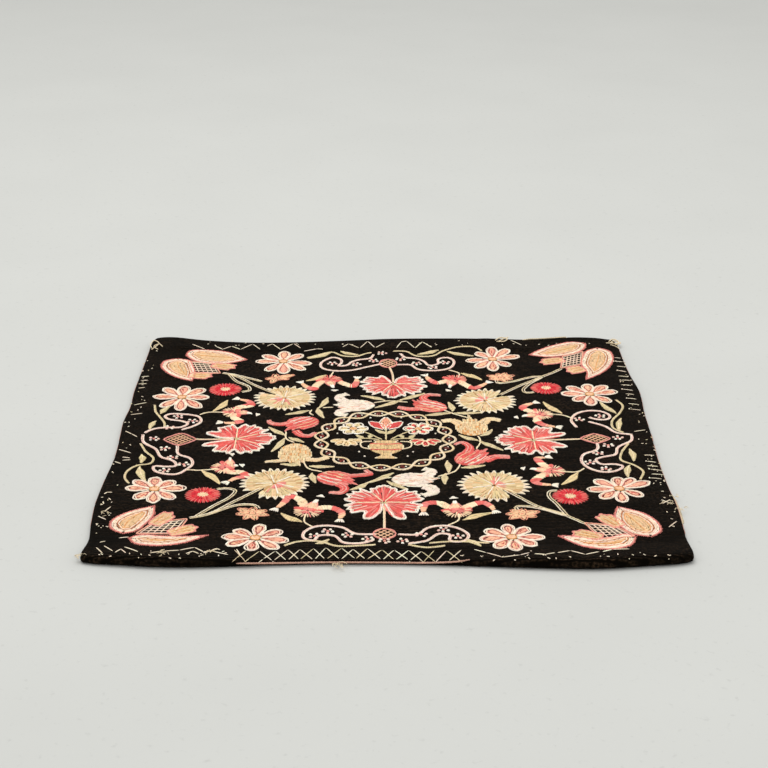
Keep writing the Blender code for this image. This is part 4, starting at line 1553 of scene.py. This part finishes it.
# Ring tulips: kind, foot, middle of the mouth, middle tip, half-width, and each horn as (points, widths). The
# leaves of the ring as (base, tip), and its stems
RING_TULIPS = (
    ("white", (-10, 72), (-42, 70), (-54, 73), 14.4,
     (((-38, 80), (-44, 86), (-46, 94), (-38, 100)), (11, 12, 10, 5)),
     (((-37, 60), (-44, 56), (-46, 49), (-38, 46)), (11, 11, 9, 5))),
    ("coral", (60, 61), (32, 74), (25, 87), 14,
     (((42, 80), (37, 90), (42, 98), (55, 96)), (10, 9, 8, 4)),
     (((34, 63), (23, 62), (12, 67)), (10, 10, 7))),
    ("yellow", (82, -3), (82, 26), (80, 52), 15.5,
     (((72, 24), (64, 34), (54, 32)), (12, 10, 9)), (((92, 26), (101, 38), (111, 34)), (12, 10, 8))),
    ("coral", (67, -68), (86, -44), (96, -30), 15,
     (((75, -44), (78, -27), (71, -18), (64, -24)), (11, 9, 7, 3)),
     (((90, -59), (102, -50), (114, -51)), (12, 11, 9))),
    ("white", (4, -99), (36, -102), (51, -96), 14.4,
     (((33, -93), (39, -88), (41, -81), (34, -77)), (11, 12, 10, 5)),
     (((33, -114), (40, -118), (41, -127), (32, -133)), (12, 13, 11, 5))),
    ("coral", (-62, -89), (-38, -102), (-23, -113), 14.5,
     (((-35, -93), (-24, -91), (-15, -88), (-19, -80)), (9, 8, 8, 5)),
     (((-43, -110), (-37, -118), (-40, -127), (-51, -128)), (10, 9, 8, 3))),
    ("yellow", (-85, -20), (-84, -57), (-78, -74), 15.5,
     (((-92, -58), (-101, -61), (-111, -63)), (9, 6, 3)), (((-74, -56), (-64, -58), (-54, -52)), (10, 8, 8))),
    ("coral", (-66, 38), (-88, 22), (-98, 5), 14.5,
     (((-88, 31), (-101, 24), (-110, 27), (-113, 34)), (10, 9, 8, 5)),
     (((-86, 9), (-80, -2), (-74, -4), (-66, 4)), (10, 9, 7, 3))),
)
RING_LEAVES = (
    ((-57, 91), (-66, 64)), ((-66, 65), (-60, 39)), ((-74, 58), (-98, 48)), ((-95, -3), (-112, 18)),
    ((-95, -8), (-107, -40)), ((-92, -7), (-77, -19)), ((-78, -70), (-97, -67)), ((-70.5, -71.6), (-47, -73)),
    ((-67, -86), (-63.5, -108)), ((7, -86), (-16, -107)), ((-16, -107), (-33, -122)), ((0, -103), (19, -121)),
    ((56, -59), (56, -86)), ((54, -87), (52, -110)), ((68, -75), (91, -70)), ((87, -14), (69, 0)),
    ((87, -14), (109, -37)), ((89, -3), (102, 12)), ((65, 56), (62, 80)), ((38, 46), (66, 52)),
    ((66, 52), (95, 53)), ((0, 83), (-25, 96)), ((14, 85), (40, 102)), ((17, 85), (-11, 65)),
)
RING_STEMS = (
    ((-72, 60), (-74, 51), (-70, 46)), ((-62, 65), (-51, 66)), ((-95, 7), (-93, -12), (-86, -19)),
    ((-76, -61), (-70, -78), (-58, -84)), ((46, -94), (62, -83), (68, -67)), ((87, -3), (89, -14), (84, -33)),
    ((-12, 77), (0, 82), (22, 79)), ((57, 59), (64, 52), (80, 40)), ((-22, -112), (-8, -100), (5, -96)),
)


# Half of a ring tulip's cup, from its foot to its mouth, as shares of its length and half-width. Then its
# teeth, as shares of the way from the mouth to the tip and of the half-width
TULIP_SIDE = ((0, 0), (0.04, 0.32), (0.2, 0.74), (0.45, 0.97), (0.8, 1.0), (1.02, 0.9))
TULIP_TEETH = ((0.0, 0.55), (0.55, 0.42), (0.35, 0.2), (1.0, 0.0), (0.35, -0.2), (0.55, -0.42), (0.0, -0.55))


def sew_ring_tulips(wools):
    needle = Needle(79)
    shades = {
        "white": (blend(wools.white, wools.pink, 0.14) * 0.93, blend(wools.white, wools.cream, 0.2) * 0.95,
                  blend(wools.cream, wools.pink, 0.55) * 0.95),
        "coral": (wools.coral, blend(wools.pink, wools.coral, 0.35), wools.cream),
        "yellow": (blend(wools.straw, wools.peach, 0.3), blend(wools.straw, wools.cream, 0.5), wools.gold),
    }
    fleck_from = {"white": 0.88, "coral": 0.92, "yellow": 0.80}
    for base, tip in RING_LEAVES:
        leaf(needle, base, tip, 3.9, blend(wools.olive, wools.cream, 0.3), needle.chance.uniform(-1.5, 1.5),
             wools.olive)
    for points in RING_STEMS:
        stem(needle, points, wools.cream, 1.5, 4.0, 0)
    for kind, base, mouth, tip, half, horn, other_horn in RING_TULIPS:
        base, mouth, tip = (np.array(p, float) for p in (base, mouth, tip))
        length = np.hypot(*(mouth - base))
        way = (mouth - base) / length
        left = left_of(way)
        spot = lambda along, aside: base + way * along * length + left * aside * half
        side = [spot(along, aside) for along, aside in TULIP_SIDE]
        teeth = [mouth + (tip - mouth) * along + left * aside * half for along, aside in TULIP_TEETH]
        other_side = [spot(along, -aside) for along, aside in TULIP_SIDE[:0:-1]]
        outline = round_off(np.array(side + teeth + other_side))
        body, line, fleck = shades[kind]
        for points, widths in (horn, other_horn):
            stroke(needle, points, widths, (body, body, line))
            stem(needle, points, blend(line, wools.white, 0.4), 0.9, 4.0, 1.6, 0.4)
            stem(needle, points, blend(line, wools.white, 0.2), 0.8, 4.0, -1.4, 0.4)
            if kind == "white":
                tuft(needle, points, line, 2.6, 0.6, 2.6, 4.2, 1.4)

        def shade(places, depth):
            pick = needle.chance.random(len(depth))
            mixed = either(pick < 0.3, line, body)
            mixed = either(pick > fleck_from[kind], fleck, mixed)
            return either(depth < 1.4, line, mixed)

        filled_rows(needle, outline, heading(way), shade, 1.3, 5.5)
        if kind == "coral":
            for aside in (-0.62, -0.2, 0.25, 0.66):
                points = [spot(*p) for p in ((0.12, aside * 0.7), (0.5, aside), (1.0, aside * 0.9))]
                stem(needle, points, (wools.white, wools.peach)[aside > 0.1], 0.8, 4.6, 0, 0.4)
    embroider(needle, "ring_tulips")


# The wreath's middle, its radius across and along, half the width of a link and the number of links. Then the
# direction in degrees in which its two strands first cross
WREATH = ((-1, -12.5), 60.5, 63.0, 6.4, 19)
WREATH_START = -84.4


def sew_chain_wreath(wools):
    needle = Needle(83)
    (x, y), wide, deep, half, links = WREATH
    turn = np.linspace(0, 2 * math.pi, 721) + math.radians(WREATH_START)
    strands = ((1, blend(wools.cream, wools.white, 0.25)), (-1, blend(wools.cream, wools.straw, 0.4)))
    for sign, shade in strands:
        sway = sign * half * np.sin((turn - turn[0]) * links / 2)
        line = np.column_stack((x + (wide + sway) * np.cos(turn), y + (deep + sway) * np.sin(turn)))
        stem(needle, line, shade, 1.15, 4.0, 0.45, 0.15 * sign + 0.15, True, 0.4)
        stem(needle, line, blend(shade, wools.gold, 0.2), 0.85, 4.0, -0.65, 0.1 * sign + 0.1, True, 0.36)
    for i in range(links):
        a = WREATH_START + 360 * (i + 0.5) / links
        over, along = unit(a), unit(a + 90)
        middle = np.array((x, y)) + np.array((wide, deep)) * over
        heart = middle + np.array((along, -along, over * 1.6 / 1.5, -over * 1.6 / 1.5)) * 1.5
        ends = middle + np.array((along, -along)) * 3.4
        dots = middle + np.array((over * 1.6 + along * 0.8, -over * 2.0, -over * 1.4 + along * 1.6))
        knots(needle, heart, np.array(wools.brown) * 0.3, 2.4)
        knots(needle, ends, wools.white, 1.9)
        knots(needle, dots, wools.coral if i % 3 else wools.pink, 1.4)
    embroider(needle, "chain_wreath")


# Half of the urn's outline, from its foot to its mouth
URN_SIDE = ((12, -55), (7, -50), (4, -46), (12, -40), (17, -31), (16, -22), (10, -17), (13, -13))


def sew_centre_urn(wools):
    """An urn with flowers inside the wreath: straw blooms to its left and coral ones to its right."""
    needle = Needle(89)
    urn = np.array([(-x, y) for x, y in URN_SIDE] + list(URN_SIDE[::-1]), float)
    straw = blend(wools.straw, wools.gold, 0.25)
    filled_rows(needle, round_off(urn), 90, lambda p, d: either(d < 1.3, wools.cream, straw))
    for y in (-22, -35):
        stem(needle, ((-15, y), (0, y - 1.6), (15, y)), wools.coral, 1.2, 3.4, 0, 0.5)
    for hand, tone, core in ((-1, wools.straw, wools.gold), (1, wools.coral, wools.red)):
        stem(needle, ((13 * hand, -16), (23 * hand, -18), (22 * hand, -30), (14 * hand, -34)), wools.cream,
             1.5, 3.4)
        stem(needle, ((4 * hand, -12), (14 * hand, 0), (24 * hand, 9)), wools.olive, 1.5, 3.8)
        stem(needle, ((6 * hand, -12), (22 * hand, -9), (33 * hand, -14)), wools.olive, 1.4, 3.8)
        leaf(needle, (14 * hand, 0), (16 * hand, -9), 3.0, wools.olive)
        leaf(needle, (21 * hand, -9), (28 * hand, -1), 3.2, wools.olive)
        leaf(needle, (0, 1), (10 * hand, 12), 3.4, wools.olive)
        bloom = np.array((31.0 * hand, 14.0))
        for a in range(-60, 241, 60):
            nested_rows(needle, *petal_edges(bloom + 2 * unit(a), bloom + 15.5 * unit(a), 6.2, 0.6, 0.4, 0.2),
                        ((1.2, wools.white), (2.4, wools.cream), (9, tone)))
        button(needle, bloom, 4.0, wools.gold)
        drop = np.array((37.0 * hand, -12.0))
        for a in (-165, -128, -90, -52, -15):
            nested_rows(needle, *petal_edges(drop, drop + 17 * unit(a), 4.6, 0.62, 0.3, 0.4),
                        ((1.0, wools.cream), (9, blend(tone, core, 0.25))))
    stem(needle, ((0, -12), (0, 2), (0, 16)), wools.olive, 1.7, 3.8)
    for aside, reach, tone in ((-40, 26, wools.coral), (40, 26, wools.coral), (0, 31, wools.peach)):
        nested_rows(needle, *petal_edges((0, 12), np.array((0, 12)) + reach * unit(90 + aside), 7.2, 0.5,
                                         0.35, 0.7),
                    ((1.4, wools.white), (2.8, tone), (9, blend(tone, wools.red, 0.35))))
    knots(needle, ((-46, 2), (47, 2), (-15, 40), (15, 40), (-25, -40), (25, -40), (-20, -50), (20, -50)),
          wools.white, 2.0)
    embroider(needle, "centre_urn")


# Thin border stitches, each a run of straight stitches
BORDER_RUNS = (
    ((-206, 239), (-190, 223)), ((-181, 236), (-179, 231), (-172, 223), (-163, 232.5), (-153, 223),
                                 (-141, 239), (-132, 223)),
    ((-125.5, 233), (-120, 239.5), (-110.5, 223), (-97.5, 240.5), (-89.5, 227)),
    ((-86, 218), (-72, 225), (-66, 224)), ((-45, 231), (-39, 240), (-27, 227), (-18.5, 248), (-10.5, 228),
                                           (0, 244)),
    ((12, 228), (17.5, 246), (23, 248), (31.6, 227), (40, 246.5), (50, 229)), ((133, 254), (146, 236)),
    ((-242, -233), (-235, -244)), ((-236, -230), (-227, -240)), ((-225, -242), (-221, -236), (-216, -243)),
    ((-219, -232), (-206, -241)), ((-240, -224), (-236, -222)), ((-225, -216), (-217, -214)),
    ((-196, -243), (-186, -240), (-172, -238), (-160, -233), (-152, -241), (-145, -240), (-131, -246)),
    ((-166, -244), (-161, -240), (-156, -244)), ((-152, -243), (-146, -239), (-142, -235), (-139, -237)),
    ((-125, -236), (-121, -247)), ((-248, -146), (-247, -150)), ((-240, -156), (-244, -165)),
    ((72, -236), (82, -242), (95, -250), (110, -246), (118, -242)), ((122, -244), (131, -245), (139, -242)),
    ((141, -242), (152, -238), (164, -245), (176, -240)), ((179, -240), (187, -236), (202, -235)),
    ((240, -195), (249, -183)), ((-249, -130), (-247, -127), (-243, -127)),
    ((-248, -175), (-246, -177), (-241, -181)), ((-248, -189), (-247, -192)), ((-242, -142), (-244, -139)),
    ((241, -149), (249, -141)), ((241, -141), (249, -149)),
    ((-249, 145), (-241, 147)), ((-248, 135), (-241, 136)), ((-250, 126), (-241, 127)),
    ((-248, 115), (-242, 117)), ((-248, 71), (-235, 78)), ((-248, 47), (-236, 51)),
    ((-248, 8), (-241, 1), (-235, -6)), ((-250, -34), (-236, -43)), ((-243, -52), (-236, -54)),
    ((-242, -59), (-235, -58)), ((-249, -62), (-243, -66)), ((236, 8), (248, 12)),
)


def drawn_out(start, end, more=0.8):
    """The same stitches, longer at both ends so that they meet."""
    way = unit_rows(end - start) * more
    return start - way, end + way


def sew_border(wools):
    needle = Needle(97)
    pale = blend(wools.cream, wools.white, 0.4)
    green = blend(wools.olive, wools.cream, 0.3)
    for points in BORDER_RUNS:
        points = np.array(points, float)
        needle.add(*drawn_out(points[:-1], points[1:]), pale, needle.thin * 1.15, 0.6)
    # Two zigzags that cross in a lattice along the middle of the front
    for phase in (0, 1):
        places = np.arange(-127, 72, 11.1)
        high = -236.5 - 2.0 * np.sin(places / 23)
        zigzag = np.column_stack((places, np.where((np.arange(len(places)) + phase) % 2, high, high - 20)))
        zigzag += needle.chance.normal(0, (0.9, 0.8), zigzag.shape)
        keep = needle.chance.random(len(zigzag) - 1) < 0.93
        start, end = drawn_out(zigzag[:-1][keep], zigzag[1:][keep], 1.1)
        needle.add(start, end, either(needle.chance.random(len(start)) < 0.4, green, pale), needle.thin, 0.6)
    # Nearly level stitches along the right side, with a knot at every second one
    rungs = np.concatenate((np.arange(-98, -44, 10), np.arange(64, 208, 12.4)))
    rungs += needle.chance.uniform(-2, 2, len(rungs))
    inner = np.column_stack((238 + needle.chance.uniform(-1.5, 1.5, len(rungs)), rungs))
    reach = needle.chance.uniform((9, -5), (13, -1), (len(rungs), 2))
    needle.add(inner, inner + reach, pale, needle.thin, 0.6, 0.4)
    knots(needle, inner[::2], pale, 1.7)
    # Scraps of stitches that are left where the others wore away
    for hand, low, high, count in ((-1, -225, 230, 44), (1, -200, 50, 38), (1, 50, 205, 16)):
        y = needle.chance.uniform(low, high, count)
        x = hand * needle.chance.uniform(238, 251, count)
        turn = needle.chance.uniform(0, 180, count)
        half = needle.chance.uniform(0.5, 1.6, count)[:, None] * unit(turn)
        spots = np.column_stack((x, y))
        tone = either(needle.chance.random(count) < 0.3, green, pale)
        needle.add(spots - half, spots + half, tone, needle.thin * 1.1, 0.5)
    for low, high, level, count in ((60, 235, -248, 30), (-240, -130, -247, 20), (-190, 240, 240, 34)):
        spots = np.column_stack((needle.chance.uniform(low, high, count),
                                 needle.chance.normal(level, 4, count)))
        half = needle.chance.uniform(-1.6, 1.6, (count, 2))
        needle.add(spots - half, spots + half, pale, needle.thin, 0.5)
    embroider(needle, "border_stitches")


def lying(points, clear):
    """A route in metres that lies on the cloth, or on the floor past it. clear is mm above, one or many."""
    line = curve(points, 0.7)
    spots, out = relief().seen(line)
    height = np.interp(np.linspace(0, 1, len(line)), np.linspace(0, 1, len(clear)), clear)
    return spots + out * (height * MM)[:, None]


# Loops and tufts of loose yarn: (points, mm above the cloth along it, radius)
LOOSE_YARNS = (
    (((-247, 225), (-249, 236), (-246, 247), (-241, 240), (-243, 230), (-247, 222)),
     (0.3, 1.2, 0.8, 0.5, 0.9, 0.3), 0.5),
    (((-240, 222), (-245, 228), (-240, 236), (-236, 230)), (0.3, 1.4, 1.2, 0.3), 0.45),
    (((246, 250), (242, 243), (247, 236), (250, 242), (245, 249)), (0.3, 1.4, 0.8, 1.2, 0.3), 0.5),
    (((240, 238), (245, 231), (248, 225)), (0.3, 1.0, 0.3), 0.45),
    (((239, 246), (244, 251), (249, 246), (247, 238), (241, 240), (243, 247)),
     (0.3, 1.6, 1.2, 1.8, 1.0, 0.3), 0.6),
    (((236, 243), (243, 238), (250, 238), (252, 245)), (0.3, 1.8, 1.4, 0.4), 0.55),
    (((118, 250), (124, 256), (131, 251), (127, 245), (119, 247)), (0.3, 1.3, 1.5, 1.2, 0.3), 0.6),
    (((121, 246), (128, 252), (133, 259)), (0.6, 1.8, 0.9), 0.5),
)
# Tufts of frayed ends at the edge: (x, y, number of ends, their longest reach), in mm
TUFTS = ((-254, -248, 12, 5), (-242, -167, 9, 4), (-184, -241, 12, 5), (-146, -240, 12, 5),
         (-40, -262, 14, 7), (247, -148, 9, 5), (254, -132, 5, 4), (255, -158, 6, 5))
# Threads of the seam that show along the side folds: side, first and last place along it, radius, all in mm
SEAM_THREADS = ((-1, -190, 232, 0.24), (1, 20, 228, 0.26), (1, -205, 5, 0.4))


def seam_threads(chance):
    """Short lengths of thread that follow the folds, with gaps where they are worn away."""
    strands = []
    for side, first, last, radius in SEAM_THREADS:
        place = first
        while place < last:
            until = min(last, place + chance.uniform(18, 60))
            along = np.arange(place, until, 1.4) * MM / HALF_LENGTH
            lean = 6 + 9 * np.sin(along * 19 + place) + chance.normal(0, 2.5, len(along))
            route = np.column_stack(fold_point(np.full(len(along), float(side)), along, lean,
                                               CLOTH / 2 + 0.1 * MM))
            if len(route) > 4:
                strands.append(tube(route, radius * MM, 5, 0.3))
            place = until + chance.uniform(1, 7)
    return strands


def sew_loose_yarns(wools, finish):
    strands = [tube(lying(points, clear), radius * MM, 6, 0.4) for points, clear, radius in LOOSE_YARNS]
    chance = np.random.default_rng(101)
    for x, y, count, reach in TUFTS:
        for _ in range(count):
            start = np.array((x, y)) + chance.normal(0, 2.0, 2)
            way = unit(chance.uniform(-150, -20)) * chance.uniform(0.5, 1.0) * reach
            mid = start + way * 0.5 + chance.normal(0, 1.0, 2)
            strands.append(tube(lying((start, mid, start + way), (0.1, 1.0, 0.4)), 0.22 * MM, 5, 0.4))
    place_piece("seam_threads", join_tubes("seam_threads", seam_threads(chance)),
                spun_wool("seam_wool", blend(finish.cord, wools.brown, 0.25), 0.6))
    place_piece("loose_yarns", join_tubes("loose_yarns", strands),
                spun_wool("loose_wool", blend(wools.cream, wools.olive, 0.35), 0.7))


def make_floor(finish):
    """A plain pale floor with a faint speckle."""
    bpy.ops.mesh.primitive_plane_add(size=9, location=(0, 1.2, -0.0002))
    floor = bpy.context.object
    floor.name = floor.data.name = "floor"
    material, tree, shader = new_material("pale_floor", 0.85, 0.15)
    darker, speck = (tuple(c * share for c in finish.floor) for share in (0.97, 0.86))
    mottled = mix_colours(tree, ramp(tree, grain(tree, 5.0, 5), 0.3, 0.7), tuple(finish.floor), darker)
    speckled = mix_colours(tree, ramp(tree, grain(tree, 150, 3), 0.62, 0.8), mottled, speck)
    tree.links.new(speckled, shader.inputs["Base Color"])
    floor.data.materials.append(material)


def light_room(finish):
    """Soft light from all round, a broad lamp above and a weaker one at the side."""
    world = bpy.data.worlds.new("room")
    world.use_nodes = True
    world.node_tree.nodes["Background"].inputs["Color"].default_value = (1.0, 0.995, 0.985, 1)
    world.node_tree.nodes["Background"].inputs["Strength"].default_value = 0.86
    bpy.context.scene.world = world
    for name, spot, size, power in (("lamp_above", (-0.4, 0.45, 2.7), 2.0, finish.lamp),
                                    ("lamp_side", (1.9, -1.4, 2.2), 1.6, finish.lamp * 0.3)):
        light = bpy.data.lights.new(name, "AREA")
        light.size = size
        light.energy = power
        lamp = bpy.data.objects.new(name, light)
        lamp.location = spot
        lamp.rotation_euler = (-Vector(spot)).to_track_quat("-Z", "Y").to_euler()
        bpy.context.scene.collection.objects.link(lamp)


def set_camera():
    """The camera of the front view."""
    down, yaw, roll = (math.radians(a) for a in (CAMERA_DOWN, CAMERA_YAW, CAMERA_ROLL))
    ahead = Vector((-math.sin(yaw) * math.cos(down), math.cos(yaw) * math.cos(down), -math.sin(down)))
    right = Vector((math.cos(yaw), math.sin(yaw), 0))
    above = right.cross(ahead)
    x_axis = right * math.cos(roll) + above * math.sin(roll)
    y_axis = above * math.cos(roll) - right * math.sin(roll)
    lens = bpy.data.cameras.new("camera")
    lens.lens = CAMERA_LENS
    lens.sensor_width = 36
    lens.sensor_fit = "HORIZONTAL"
    camera = bpy.data.objects.new("camera", lens)
    turn = Matrix((x_axis, y_axis, -ahead)).transposed().to_4x4()
    camera.matrix_world = Matrix.Translation(CAMERA_SPOT) @ turn
    bpy.context.scene.collection.objects.link(camera)
    bpy.context.scene.camera = camera
    bpy.context.scene.view_settings.view_transform = "Standard"


class COVER_OT_front_cloth(bpy.types.Operator):
    """Makes the black wool cloth with its folds and hems"""

    bl_idname = "cover.front_cloth"
    bl_label = "Front Cloth"

    def execute(self, context):
        make_front_cloth()
        return {"FINISHED"}


class COVER_OT_lining(bpy.types.Operator):
    """Makes the linen lining, which slips out at the right and the back"""

    bl_idname = "cover.lining"
    bl_label = "Lining"

    def execute(self, context):
        make_lining()
        return {"FINISHED"}


class COVER_OT_edge_cord(bpy.types.Operator):
    """Makes the twisted cord of the front fold"""

    bl_idname = "cover.edge_cord"
    bl_label = "Edge Cord"

    def execute(self, context):
        make_edge_cord()
        return {"FINISHED"}


class COVER_OT_corner_tulips(bpy.types.Operator):
    """Embroiders the four large tulips of the corners"""

    bl_idname = "cover.corner_tulips"
    bl_label = "Corner Tulips"

    def execute(self, context):
        sew_corner_tulips(context.scene.cover_wools)
        return {"FINISHED"}


class COVER_OT_star_flowers(bpy.types.Operator):
    """Embroiders the eight flowers with eight white-rimmed petals"""

    bl_idname = "cover.star_flowers"
    bl_label = "Star Flowers"

    def execute(self, context):
        sew_star_flowers(context.scene.cover_wools)
        return {"FINISHED"}


class COVER_OT_daisies(bpy.types.Operator):
    """Embroiders the four red daisies"""

    bl_idname = "cover.daisies"
    bl_label = "Daisies"

    def execute(self, context):
        sew_daisies(context.scene.cover_wools)
        return {"FINISHED"}


class COVER_OT_carnations(bpy.types.Operator):
    """Embroiders the straw and the coral carnations"""

    bl_idname = "cover.carnations"
    bl_label = "Carnations"

    def execute(self, context):
        sew_straw_carnations(context.scene.cover_wools)
        sew_coral_carnations(context.scene.cover_wools)
        return {"FINISHED"}


class COVER_OT_garlands(bpy.types.Operator):
    """Embroiders the garlands with their nets and berries, and the tendrils outside them"""

    bl_idname = "cover.garlands"
    bl_label = "Garlands and Tendrils"

    def execute(self, context):
        sew_garlands(context.scene.cover_wools)
        sew_tendrils(context.scene.cover_wools)
        return {"FINISHED"}


class COVER_OT_blossoms(bpy.types.Operator):
    """Embroiders the curled blossoms and the toothed leaves"""

    bl_idname = "cover.blossoms"
    bl_label = "Curled Blossoms"

    def execute(self, context):
        sew_curled_blossoms(context.scene.cover_wools)
        sew_toothed_leaves(context.scene.cover_wools)
        return {"FINISHED"}


class COVER_OT_centre(bpy.types.Operator):
    """Embroiders the ring of tulips, the chain wreath and the urn inside it"""

    bl_idname = "cover.centre"
    bl_label = "Ring and Urn"

    def execute(self, context):
        sew_ring_tulips(context.scene.cover_wools)
        sew_chain_wreath(context.scene.cover_wools)
        sew_centre_urn(context.scene.cover_wools)
        return {"FINISHED"}


class COVER_OT_border(bpy.types.Operator):
    """Sews the thin border stitches and leaves the loose yarns at the corners"""

    bl_idname = "cover.border"
    bl_label = "Border Stitches"

    def execute(self, context):
        sew_border(context.scene.cover_wools)
        sew_loose_yarns(context.scene.cover_wools, context.scene.cover_finish)
        return {"FINISHED"}


class COVER_OT_stage(bpy.types.Operator):
    """Makes the floor, the light and the camera"""

    bl_idname = "cover.stage"
    bl_label = "Stage"

    def execute(self, context):
        make_floor(context.scene.cover_finish)
        light_room(context.scene.cover_finish)
        set_camera()
        return {"FINISHED"}


STEPS = (COVER_OT_stage, COVER_OT_front_cloth, COVER_OT_lining, COVER_OT_edge_cord, COVER_OT_corner_tulips,
         COVER_OT_star_flowers, COVER_OT_daisies, COVER_OT_carnations, COVER_OT_garlands, COVER_OT_blossoms,
         COVER_OT_centre, COVER_OT_border)


class COVER_PT_panel(bpy.types.Panel):
    """The cover's sizes, colours and steps"""

    bl_idname = "COVER_PT_panel"
    bl_label = "Cushion Cover"
    bl_space_type = "VIEW_3D"
    bl_region_type = "UI"
    bl_category = "Cushion Cover"

    def draw(self, context):
        for group in (context.scene.cover_sizes, context.scene.cover_wools, context.scene.cover_finish):
            column = self.layout.column()
            for name in group.__annotations__:
                column.prop(group, name)
        for step in STEPS:
            self.layout.operator(step.bl_idname)


GROUPS = {"cover_wools": CoverWools, "cover_sizes": CoverSizes, "cover_finish": CoverFinish}


def register():
    for name, group in GROUPS.items():
        bpy.utils.register_class(group)
        setattr(bpy.types.Scene, name, bpy.props.PointerProperty(type=group))
    for step in STEPS:
        bpy.utils.register_class(step)
    bpy.utils.register_class(COVER_PT_panel)


def unregister():
    bpy.utils.unregister_class(COVER_PT_panel)
    for step in reversed(STEPS):
        bpy.utils.unregister_class(step)
    for name, group in GROUPS.items():
        delattr(bpy.types.Scene, name)
        bpy.utils.unregister_class(group)


def main():
    register()
    for step in STEPS:
        group, name = step.bl_idname.split(".")
        getattr(getattr(bpy.ops, group), name)()


if __name__ == "__main__":
    main()
